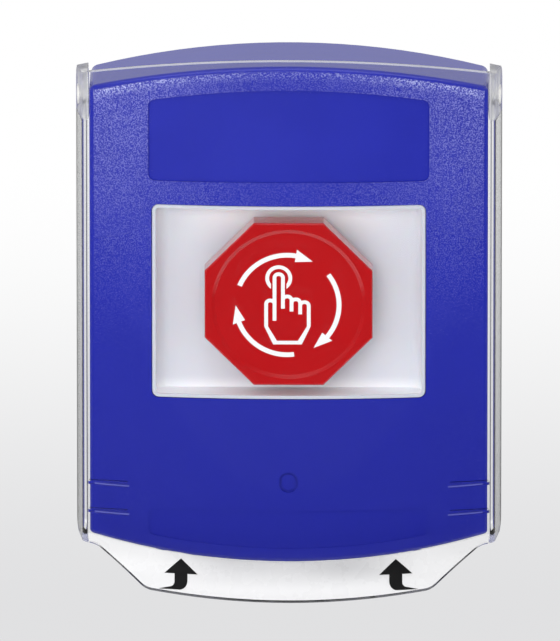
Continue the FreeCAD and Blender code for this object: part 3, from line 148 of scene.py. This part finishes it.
# The lip's outline as seen from the front: a wide arc below and a slant at each side, along
# which painted shade draws a dark line
COVER_LOW, COVER_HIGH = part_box("clear_cover")
LIP_ARC_HALF = 0.0342
LIP_ARC_RISE = 0.0017
LIP_ARC_RADIUS = (LIP_ARC_HALF**2 + LIP_ARC_RISE**2) / (2 * LIP_ARC_RISE)
LIP_SHOULDER = (0.0459, -0.0570)
LIP_RIM = 0.0008
# The ears at the hinge are frosted
EAR_Z = (0.0470, 0.0480)
EAR_X = (0.0477, 0.0480)
EAR_ROUGHNESS = 0.32

# The cover's wall and the arc of its upper edge, for its matt cut edges, which carry a painted
# highlight
COVER_WALL = 0.0015
COVER_BOW_RADIUS = 0.1353
COVER_AXIS_Y = 0.1035
COVER_ARC_HALF = 0.0519
COVER_ARC_RISE = 0.0058
COVER_ARC_RADIUS = (COVER_ARC_HALF**2 + COVER_ARC_RISE**2) / (2 * COVER_ARC_RISE)
COVER_HALF = 0.0493
FRONT_HALF = 0.0474
EDGE_STEPS = 97
RIB_STEPS = 9
EDGE_INSET = 0.00008
EDGE_THICKNESS = 0.00005
EDGE_HIGHLIGHT_COLOUR = (0.60, 0.61, 0.76)
# The lower ends of the cover's side walls, which spread towards the wall behind
WALL_FRONT = 0.0225
WALL_DEPTH = 0.0120
WALL_SPREAD = 0.0016
WALL_END_REAR = 0.0140
WALL_END_FRONT = 0.0224
WALL_END_STEPS = 5
WALL_END_OUTER = (0.0519, -0.0562)
# Painted highlight: a faint light line where the ribs in the cover's lower corners meet its
# front
RIB_Z = (-0.0491, -0.0421)
RIB_SPAN = (0.0385, 0.0468)
RIB_LINE_HEIGHT = 0.00030
RIB_HIGHLIGHT_COLOUR = (0.085, 0.095, 0.40)


def map_range(tree, source, low, high, to_low, to_high):
    """Smooth step from to_low to to_high as the source goes from low to high."""
    made = tree.nodes.new("ShaderNodeMapRange")
    made.interpolation_type = "SMOOTHSTEP"
    for key, value in zip(("From Min", "From Max", "To Min", "To Max"),
                          (low, high, to_low, to_high)):
        made.inputs[key].default_value = value
    tree.links.new(source, made.inputs["Value"])
    return made.outputs["Result"]


def join(tree, operation, first, second=None):
    """One Math node; its values are numbers or other nodes' outputs."""
    made = tree.nodes.new("ShaderNodeMath")
    made.operation = operation
    for socket, value in zip(made.inputs, (first, second)):
        if value is None:
            continue
        if isinstance(value, (int, float)):
            socket.default_value = value
        else:
            tree.links.new(value, socket)
    return made.outputs[0]


class Shader:
    """One material's node graph, with short calls for the nodes used here."""

    def __init__(self, name):
        self.material = bpy.data.materials.new(name)
        self.material.use_nodes = True
        self.tree = self.material.node_tree
        self.surface = self.tree.nodes["Principled BSDF"]
        self.output = self.tree.nodes["Material Output"]

    def node(self, kind, **settings):
        made = self.tree.nodes.new(kind)
        for key, value in settings.items():
            setattr(made, key, value)
        return made

    def link(self, source, target):
        self.tree.links.new(source, target)

    def set(self, **values):
        for key, value in values.items():
            label = key.replace("_", " ").title().replace("Ior", "IOR")
            socket = self.surface.inputs[label]
            socket.default_value = (*value, 1) if isinstance(value, tuple) else value

    def place(self):
        """Position in the row frame: every node's object sits at the origin."""
        return self.node("ShaderNodeTexCoord").outputs["Object"]

    def coordinates(self):
        split = self.node("ShaderNodeSeparateXYZ")
        self.link(self.place(), split.inputs[0])
        return split.outputs["X"], split.outputs["Y"], split.outputs["Z"]

    def noise(self, size, detail=2.0, roughness=0.5):
        """Noise whose grains are about size metres across."""
        made = self.node("ShaderNodeTexNoise")
        made.inputs["Scale"].default_value = 1 / size
        made.inputs["Detail"].default_value = detail
        made.inputs["Roughness"].default_value = roughness
        self.link(self.place(), made.inputs["Vector"])
        return made.outputs["Fac"]

    def ramp(self, source, low, high, to_low=0.0, to_high=1.0):
        return map_range(self.tree, source, low, high, to_low, to_high)

    def math(self, operation, first, second=None):
        return join(self.tree, operation, first, second)

    def blend(self, factor, first, second):
        """Colour between first and second by factor."""
        made = self.node("ShaderNodeMix", data_type="RGBA")
        for index, value in ((6, first), (7, second)):
            if isinstance(value, tuple):
                made.inputs[index].default_value = (*value, 1)
            else:
                self.link(value, made.inputs[index])
        self.link(factor, made.inputs[0])
        return made.outputs[2]

    def bump(self, height, distance, strength=1.0):
        made = self.node("ShaderNodeBump")
        made.inputs["Strength"].default_value = strength
        made.inputs["Distance"].default_value = distance
        self.link(height, made.inputs["Height"])
        self.link(made.outputs["Normal"], self.surface.inputs["Normal"])
        return made

    def colour(self, source):
        self.link(source, self.surface.inputs["Base Color"])

    def roughness(self, source):
        self.link(source, self.surface.inputs["Roughness"])


def any_ray(tree, *kinds):
    """1 for rays of any of these Light Path kinds."""
    path = tree.nodes.new("ShaderNodeLightPath")
    total = path.outputs[kinds[0]]
    for kind in kinds[1:]:
        total = join(tree, "MAXIMUM", total, path.outputs[kind])
    return total


def shade(colour, factor):
    return tuple(min(1.0, channel * factor) for channel in colour)


def moulded_plastic(name, colour, roughness, grain=0.0006, depth=0.000004, spread=0.06):
    """Moulded plastic: slight flow tint, a fine grain and uneven gloss."""
    shader = Shader(name)
    shader.set(roughness=roughness, ior=1.5)
    flow = shader.ramp(shader.noise(0.012, 3.0), 0.3, 0.7)
    shader.tint = shader.blend(flow, shade(colour, 1 - spread), shade(colour, 1 + spread))
    shader.colour(shader.tint)
    gloss = shader.noise(0.004, 4.0)
    shader.roughness(shader.ramp(gloss, 0.25, 0.75, roughness * 0.85, roughness * 1.15))
    shader.bump(shader.noise(grain, 3.0), depth)
    return shader


def plated_metal(name, colour, roughness, stretch=(1, 1, 12)):
    """Plated or drawn metal: fine directional scratches and patchy gloss."""
    shader = Shader(name)
    shader.set(roughness=roughness, metallic=1.0)
    mapping = shader.node("ShaderNodeMapping")
    mapping.inputs["Scale"].default_value = stretch
    shader.link(shader.place(), mapping.inputs["Vector"])
    scratch = shader.node("ShaderNodeTexNoise")
    scratch.inputs["Scale"].default_value = 900
    scratch.inputs["Detail"].default_value = 3
    shader.link(mapping.outputs["Vector"], scratch.inputs["Vector"])
    patch = shader.ramp(shader.noise(0.006, 3.0), 0.3, 0.7)
    shader.colour(shader.blend(patch, shade(colour, 0.88), colour))
    marks = scratch.outputs["Fac"]
    shader.roughness(shader.ramp(marks, 0.3, 0.7, roughness * 0.8, roughness * 1.25))
    shader.bump(marks, 0.000003)
    return shader.material


def distance_from(shader, first, second, centre):
    """Distance of a point with these two coordinates from a centre."""
    across = shader.math("SUBTRACT", first, centre[0])
    along = shader.math("SUBTRACT", second, centre[1])
    squares = shader.math("ADD", shader.math("MULTIPLY", across, across),
                          shader.math("MULTIPLY", along, along))
    return shader.math("SQRT", squares)


def near_front(shader, x, y, depth, fade):
    """1 on what lies less than this depth behind the housing's bowed front, 0 deeper."""
    reach = distance_from(shader, x, y, (0.0, BOW_AXIS_Y))
    return shader.ramp(shader.math("SUBTRACT", BOW_RADIUS, reach), depth, depth + fade, 1.0, 0.0)


def housing_material():
    """Blue plastic, blasted to a grain with painted glints on the front and smooth elsewhere;
    painted shade darkens it towards the bottom.
    """
    shader = Shader("housing_blue_plastic")
    shader.set(ior=1.5)
    x, y, z = shader.coordinates()
    mask = near_front(shader, x, y, TEXTURE_DEPTH, TEXTURE_FADE)
    height = shader.ramp(z, GRAIN_GLINT_NONE_Z, GRAIN_GLINT_FULL_Z, GRAIN_GLINT_LEAST, 1.0)
    aside = shader.math("ABSOLUTE", x)
    side = shader.ramp(aside, 0, HOUSING_HALF, GRAIN_GLINT_CENTRE, 1.0)
    under_arch = shader.math("SUBTRACT", ARCH_RADIUS, distance_from(
        shader, x, z, (0.0, HOUSING_HIGH.z - ARCH_RADIUS)))
    inside = shader.math("MINIMUM", under_arch, shader.math("SUBTRACT", HOUSING_HALF, aside))
    mask = shader.math("MULTIPLY", mask, shader.ramp(inside, *BORDER))
    grain_and_glint = shader.math("MULTIPLY", mask, shader.math("MULTIPLY", height, side))
    grain = shader.noise(GRAIN_SIZE, 1.0, 0.5)
    tint = shader.ramp(shader.noise(0.02, 2.0), 0.3, 0.7)
    smooth = shader.blend(tint, HOUSING_BLUE_DARK, HOUSING_BLUE)
    # Painted shade: the blue darkens towards the bottom
    bottom_shade = shader.ramp(z, SHADE_LOW_Z, SHADE_HIGH_Z, 1.0, 0.0)
    smooth = shader.blend(bottom_shade, smooth, HOUSING_BLUE_SHADED)
    # Painted glints: lighter blue specks on the grain, strongest at the top and at the sides
    painted_glint = shader.math("MULTIPLY", shader.ramp(grain, 0.42, 0.66), grain_and_glint)
    # Painted glints: bright flecks in a band below the grain's upper edge
    fleck_glint = shader.ramp(shader.noise(FLECK_GLINT_SIZE, 1.0, 0.5), 0.50, 0.62)
    band = shader.math("MULTIPLY", shader.math("MULTIPLY", mask, side),
                       shader.ramp(under_arch, *FLECK_GLINT_BAND, 1.0, 0.0))
    glinted = shader.blend(painted_glint, smooth, GRAIN_GLINT_BLUE)
    shader.colour(shader.blend(shader.math("MULTIPLY", fleck_glint, band), glinted, FLECK_GLINT_BLUE))
    shader.roughness(shader.ramp(grain_and_glint, 0.0, 1.0, 0.24, 0.36))
    shader.bump(shader.math("MULTIPLY", grain, grain_and_glint), GRAIN_HEIGHT)
    return shader.material


def tray_material():
    shader = moulded_plastic("tray_white_plastic", TRAY_WHITE, 0.50, 0.0010, 0.000001, 0.008)
    shader.set(subsurface_weight=0.15, subsurface_scale=0.002)
    x, y, z = shader.coordinates()
    # Painted light: a lighter white above the button and at its sill
    beside = shader.ramp(shader.math("ABSOLUTE", x), *TRAY_TOP_X, 1.0, TRAY_TOP_SIDE)
    above = shader.math("MULTIPLY", beside, shader.ramp(z, *TRAY_TOP_Z))
    painted_light = shader.math("MAXIMUM", above, shader.ramp(z, *TRAY_SILL_Z, 1.0, 0.0))
    # Painted shade: the rim at the front is darker
    rim = near_front(shader, x, y, TRAY_RIM_DEPTH, TRAY_RIM_FADE)
    shader.colour(shader.blend(rim, shader.blend(painted_light, shader.tint, TRAY_PAINTED_LIGHT), TRAY_RIM_SHADE))
    return shader.material


def button_material():
    shader = moulded_plastic("button_red_plastic", BUTTON_RED, 0.14, 0.0012, 0.000001, 0.015)
    shader.set(coat_weight=1.0, coat_roughness=0.06)
    return shader.material


def clear_material():
    """Clear moulded plastic; light passes it, so shadow rays see it as open."""
    shader = Shader("cover_clear_plastic")
    shader.set(roughness=0.02, ior=1.49, transmission_weight=1.0)
    x, _, z = shader.coordinates()
    inside_arc = shader.math("SUBTRACT", LIP_ARC_RADIUS, distance_from(
        shader, x, z, (0.0, COVER_LOW.z + LIP_ARC_RADIUS)))
    run = (LIP_SHOULDER[0] - LIP_ARC_HALF, LIP_SHOULDER[1] - COVER_LOW.z - LIP_ARC_RISE)
    length = math.hypot(*run)
    across = shader.math("SUBTRACT", LIP_SHOULDER[0], shader.math("ABSOLUTE", x))
    above = shader.math("SUBTRACT", z, LIP_SHOULDER[1])
    inside_slant = shader.math("ADD", shader.math("MULTIPLY", across, run[1] / length),
                               shader.math("MULTIPLY", above, run[0] / length))
    inside = shader.math("MINIMUM", inside_arc, inside_slant)
    # Painted shade: a dark line along the lip's edge
    rim = shader.ramp(inside, LIP_RIM, LIP_RIM * 1.2, 1.0, 0.0)
    lip = shader.ramp(z, LIP_SHOULDER[1] - 0.001, LIP_SHOULDER[1], 1.0, 0.0)
    shader.colour(shader.blend(shader.math("MULTIPLY", rim, lip), COVER_TINT, COVER_RIM_SHADE))
    smear = shader.ramp(shader.noise(0.016, 3.0), 0.35, 0.75, 0.015, 0.03)
    ears = shader.math("MULTIPLY", shader.ramp(z, *EAR_Z, 0.0, EAR_ROUGHNESS),
                       shader.ramp(shader.math("ABSOLUTE", x), *EAR_X))
    shader.roughness(shader.math("MAXIMUM", smear, ears))
    shader.bump(shader.noise(0.010, 2.0), 0.000004, 0.4)
    open_way = shader.node("ShaderNodeBsdfTransparent")
    open_way.inputs["Color"].default_value = (*COVER_TINT, 1)
    mix = shader.node("ShaderNodeMixShader")
    shader.link(any_ray(shader.tree, "Is Shadow Ray", "Is Diffuse Ray"), mix.inputs[0])
    shader.link(shader.surface.outputs[0], mix.inputs[1])
    shader.link(open_way.outputs[0], mix.inputs[2])
    shader.link(mix.outputs[0], shader.output.inputs["Surface"])
    return shader.material


def label_material():
    shader = moulded_plastic("label_white_gloss", LABEL_WHITE, 0.28, 0.0010, 0.000002, 0.004)
    x, _, z = shader.coordinates()
    # Painted shade towards the middle of the label's upper edge
    middle = shader.ramp(shader.math("ABSOLUTE", x), *LABEL_SHADE_X, 1.0, 0.0)
    label_shade = shader.math("MULTIPLY", middle, shader.ramp(z, *LABEL_SHADE_Z))
    shader.colour(shader.blend(label_shade, shader.tint, LABEL_SHADE))
    return shader.material


def ink_material():
    shader = moulded_plastic("ink_black", INK_BLACK, 0.6, 0.0005, 0.000002, 0.25)
    shader.set(specular_ior_level=0.1)
    return shader.material


def on_front(x, depth, z):
    """Point at this depth inside the cover's bowed front, as seen at x."""
    angle = math.asin(x / COVER_BOW_RADIUS)
    reach = COVER_BOW_RADIUS - depth
    return (reach * math.sin(angle), COVER_AXIS_Y - reach * math.cos(angle), z)


def add_band(name, rows, thickness, material):
    """Thin closed band whose top runs through rows of two points, riding on the cover."""
    vertices = []
    for first, second in rows:
        for x, y, z in (first, second):
            vertices += [(x, y, z), (x, y, z - thickness)]
    ring = (0, 1, 3, 2)
    faces = [tuple(ring), tuple(4 * (len(rows) - 1) + index for index in reversed(ring))]
    for row in range(len(rows) - 1):
        for this, following in zip(ring, ring[1:] + ring[:1]):
            faces.append((4 * row + following, 4 * row + this,
                          4 * row + 4 + this, 4 * row + 4 + following))
    mesh = bpy.data.meshes.new(name)
    mesh.from_pydata(vertices, [], faces)
    mesh.materials.append(material)
    band = bpy.data.objects.new(name, mesh)
    bpy.context.scene.collection.objects.link(band)
    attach(band, "cover")


def spaced(low, high, count):
    return [low + (high - low) * index / (count - 1) for index in range(count)]


def top_edge_rows():
    """Both rims of the cover's upper edge, just under its face."""
    rows = []
    for x in spaced(-FRONT_HALF, FRONT_HALF, EDGE_STEPS):
        centre = COVER_HIGH.z - COVER_ARC_RADIUS - EDGE_INSET
        z = centre + math.sqrt(COVER_ARC_RADIUS**2 - x**2)
        rows.append((on_front(x, EDGE_INSET, z), on_front(x, COVER_WALL - EDGE_INSET, z)))
    return rows


def wall_end_rows(side):
    """Outer and inner rim of one side wall's lower end, just above its face."""
    slope = (WALL_END_OUTER[1] - LIP_SHOULDER[1]) / (WALL_END_OUTER[0] - LIP_SHOULDER[0])
    rows = []
    for front in spaced(WALL_END_REAR, WALL_END_FRONT, WALL_END_STEPS):
        outer = COVER_HALF + WALL_SPREAD * (WALL_FRONT - front) / WALL_DEPTH
        row = []
        for x in (outer - EDGE_INSET, outer - COVER_WALL + EDGE_INSET):
            z = WALL_END_OUTER[1] + slope * (x - WALL_END_OUTER[0]) + 2 * EDGE_INSET
            row.append((side * x, -front, z))
        rows.append(row)
    return rows


def rib_line_rows(side, z):
    """Front end of one rib, inside its root at the cover's front."""
    top = z + RIB_LINE_HEIGHT / 2
    near = COVER_WALL + EDGE_INSET
    far = COVER_WALL + RIB_LINE_HEIGHT
    return [(on_front(side * x, near, top), on_front(side * x, far, top))
            for x in spaced(*RIB_SPAN, RIB_STEPS)]


def dress(materials):
    for node, material in materials.items():
        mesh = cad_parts[node].data
        mesh.materials.clear()
        mesh.materials.append(material)


def add_spring():
    """Copy of the CAD spring, attached to the station, standing in for the hidden CAD spring."""
    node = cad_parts["return_spring"]
    coil = bpy.data.objects.new("spring_coil", node.data.copy())
    bpy.context.scene.collection.objects.link(coil)
    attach(coil, "station")
    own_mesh(coil)
    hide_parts("return_spring")


def camera_axes():
    """Unit vectors right, up and back of the photograph's camera."""
    a, e = math.radians(CAMERA_AZIMUTH), math.radians(CAMERA_ELEVATION)
    back = Vector((math.sin(a) * math.cos(e), -math.cos(a) * math.cos(e), math.sin(e)))
    right = Vector((math.cos(a), math.sin(a), 0))
    return right, back.cross(right), back


def add_camera():
    right, up, back = camera_axes()
    off_x = (IMAGE_WIDTH / 2 - ORIGIN_PIXEL[0]) / PIXELS_PER_METRE
    off_y = (ORIGIN_PIXEL[1] - IMAGE_HEIGHT / 2) / PIXELS_PER_METRE
    distance = CAMERA_LENS_MM / SENSOR_MM * IMAGE_WIDTH / PIXELS_PER_METRE + SCALE_DEPTH
    data = bpy.data.cameras.new("photo_camera")
    data.sensor_fit = "AUTO"
    data.sensor_width = SENSOR_MM
    # Blender fits the sensor to the longer side, which is the picture's height here
    data.lens = CAMERA_LENS_MM * IMAGE_WIDTH / IMAGE_HEIGHT
    data.clip_end = 100
    camera = bpy.data.objects.new("photo_camera", data)
    camera.location = right * off_x + up * off_y + back * distance
    camera.rotation_euler = back.to_track_quat("Z", "Y").to_euler()
    bpy.context.scene.collection.objects.link(camera)
    bpy.context.scene.camera = camera


def add_world():
    """White surroundings, dim in reflections of what lies low in front of the station."""
    world = bpy.data.worlds.new("studio")
    bpy.context.scene.world = world
    world.use_nodes = True
    tree = world.node_tree
    light = tree.nodes["Background"]
    light.inputs["Color"].default_value = (1.0, 1.0, 1.0, 1)
    light.inputs["Strength"].default_value = WORLD_LIGHT
    shown = tree.nodes.new("ShaderNodeBackground")
    direction = tree.nodes.new("ShaderNodeTexCoord")
    split = tree.nodes.new("ShaderNodeSeparateXYZ")
    tree.links.new(direction.outputs["Generated"], split.inputs[0])
    beside = map_range(tree, split.outputs["Y"], -0.65, -0.10, FRONT_REFLECTION, 1.0)
    above = map_range(tree, split.outputs["Z"], 0.30, 0.75, FRONT_REFLECTION, 1.0)
    seen = join(tree, "MAXIMUM", beside, above)
    tree.links.new(mirrored(tree, seen), shown.inputs["Strength"])
    mix = tree.nodes.new("ShaderNodeMixShader")
    tree.links.new(any_ray(tree, *BACKGROUND_RAYS), mix.inputs[0])
    tree.links.new(light.outputs[0], mix.inputs[1])
    tree.links.new(shown.outputs[0], mix.inputs[2])
    tree.links.new(mix.outputs[0], tree.nodes["World Output"].inputs["Surface"])


def mirrored(tree, strength):
    """This strength for reflections and 1 for every other ray."""
    path = tree.nodes.new("ShaderNodeLightPath")
    share = tree.nodes.new("ShaderNodeMix")
    share.inputs[2].default_value = 1.0
    tree.links.new(strength, share.inputs[3])
    # Rays that only pass the clear cover have no glossy bounce and see the room as it is
    tree.links.new(join(tree, "MINIMUM", path.outputs["Glossy Depth"], 1.0), share.inputs[0])
    return share.outputs[0]


def add_floor():
    """Pale floor; it shows white and still takes the station's shadow."""
    mesh = bpy.data.meshes.new("floor")
    z = -FLOOR_DEPTH
    corners = [(-FLOOR_HALF, -FLOOR_HALF, z), (FLOOR_HALF, -FLOOR_HALF, z),
               (FLOOR_HALF, FLOOR_HALF, z), (-FLOOR_HALF, FLOOR_HALF, z)]
    mesh.from_pydata(corners, [], [(0, 1, 2, 3)])
    floor = bpy.data.objects.new("floor", mesh)
    bpy.context.scene.collection.objects.link(floor)
    shader = Shader("floor_pale")
    shader.set(roughness=0.9, base_color=(0.9, 0.9, 0.9))
    glow = shader.node("ShaderNodeEmission")
    x, y, _ = shader.coordinates()
    aside = shader.math("ABSOLUTE", x)
    across = shader.math("MULTIPLY", shader.ramp(aside, *CARD_X[0]),
                         shader.ramp(aside, *CARD_X[1], 1.0, 0.0))
    card = shader.math("MULTIPLY", across, shader.ramp(y, *CARD_Y))
    fade = shader.ramp(y, GREY_FLOOR_Y, WHITE_FLOOR_Y)
    shader.link(shader.blend(fade, (0.75, 0.75, 0.76), (1.0, 1.0, 1.0)), glow.inputs["Color"])
    pale = shader.ramp(y, PALE_FLOOR_Y, PALE_FLOOR_Y + PALE_FLOOR_FADE,
                       PALE_FLOOR_GLOW, FRONT_REFLECTION)
    seen = shader.math("MAXIMUM", pale, shader.ramp(y, NEAR_FLOOR_FAR_Y, NEAR_FLOOR_NEAR_Y))
    seen = shader.math("MULTIPLY", seen, shader.ramp(card, 0.0, 1.0, 1.0, CARD_REFLECTION))
    shader.link(mirrored(shader.tree, seen), glow.inputs["Strength"])
    mix = shader.node("ShaderNodeMixShader")
    shader.link(any_ray(shader.tree, *BACKGROUND_RAYS), mix.inputs[0])
    shader.link(shader.surface.outputs[0], mix.inputs[1])
    shader.link(glow.outputs[0], mix.inputs[2])
    # Seen from below, the floor is open
    side = shader.node("ShaderNodeMixShader")
    shader.link(shader.node("ShaderNodeNewGeometry").outputs["Backfacing"], side.inputs[0])
    shader.link(mix.outputs[0], side.inputs[1])
    shader.link(shader.node("ShaderNodeBsdfTransparent").outputs[0], side.inputs[2])
    shader.link(side.outputs[0], shader.output.inputs["Surface"])
    mesh.materials.append(shader.material)


def add_lamp(name, place, target, size, watts):
    data = bpy.data.lights.new(name, "AREA")
    data.shape = "RECTANGLE"
    data.size, data.size_y = size
    data.energy = watts
    lamp = bpy.data.objects.new(name, data)
    lamp.location = place
    lamp.rotation_euler = (Vector(place) - Vector(target)).to_track_quat("Z", "Y").to_euler()
    lamp.visible_camera = False
    lamp.visible_transmission = False
    bpy.context.scene.collection.objects.link(lamp)


add_camera()
add_world()
add_floor()
add_lamp("key_front", (-0.12, -0.70, 0.18), (0, 0, 0), (0.4, 0.4), 1.8)
add_lamp("key_left", (-0.80, -0.80, 0.20), (0, 0, 0), (0.6, 0.6), 2.75)
add_lamp("key_right", (0.80, -0.85, 0.25), (0, 0, 0), (0.6, 0.6), 1.65)
add_lamp("key_top", (0.0, -0.55, 0.95), (0, 0, 0), (1.2, 0.8), 3.9)

steel = plated_metal("zinc_plate", STEEL, 0.32)
spring = plated_metal("drawn_wire", SPRING_STEEL, 0.28, (1, 12, 1))
black = moulded_plastic("glass_filled_black", FRAME_BLACK, 0.45, 0.0005, 0.000006, 0.2).material
white = moulded_plastic("acetal_white", PLUNGER_WHITE, 0.35).material

dress({
    "front_housing": housing_material(),
    "window_tray": tray_material(),
    "tray_screws": steel,
    "mounting_plate": steel,
    "lock_screw": steel,
    "clear_cover": clear_material(),
    "hinge_pins": white,
    "cover_label": label_material(),
    "label_arrows": ink_material(),
    "button_cap": button_material(),
    "button_symbol": moulded_plastic("symbol_white_plastic", SYMBOL_WHITE, 0.3,
                                     0.0010, 0.000002, 0.01).material,
    "return_spring": spring,
    "bushing": black,
    "lock_nut": black,
    "pusher": white,
    "stem_clip": spring,
    "contact_carrier": black,
    "carrier_screw": steel,
    "contact_block_no": moulded_plastic("block_grey_plastic", BLOCK_GREY, 0.4).material,
    "contact_block_nc": moulded_plastic("block_red_plastic", BLOCK_RED, 0.4).material,
    "contact_plungers": white,
    "terminal_clamps": plated_metal("stamped_brass", BRASS, 0.3),
    "terminal_screws": steel,
})

add_spring()
# Matt cut edges of the cover, coloured partly as a painted highlight
highlighted_matt_edge = moulded_plastic("cover_highlighted_matt_edge", EDGE_HIGHLIGHT_COLOUR, 0.6).material
# Painted highlight: the light line where each rib meets the cover's front
rib_highlight_line = moulded_plastic("cover_rib_highlight_line", RIB_HIGHLIGHT_COLOUR, 0.6).material
add_band("cover_top_edge", top_edge_rows(), EDGE_THICKNESS, highlighted_matt_edge)
for side, side_name in ((-1, "left"), (1, "right")):
    add_band(f"cover_wall_end_{side_name}", wall_end_rows(side), EDGE_THICKNESS, highlighted_matt_edge)
    for index, rib_z in enumerate(RIB_Z):
        add_band(f"cover_rib_line_{side_name}_{index}", rib_line_rows(side, rib_z),
                 RIB_LINE_HEIGHT, rib_highlight_line)

bpy.context.scene.view_settings.view_transform = "Standard"
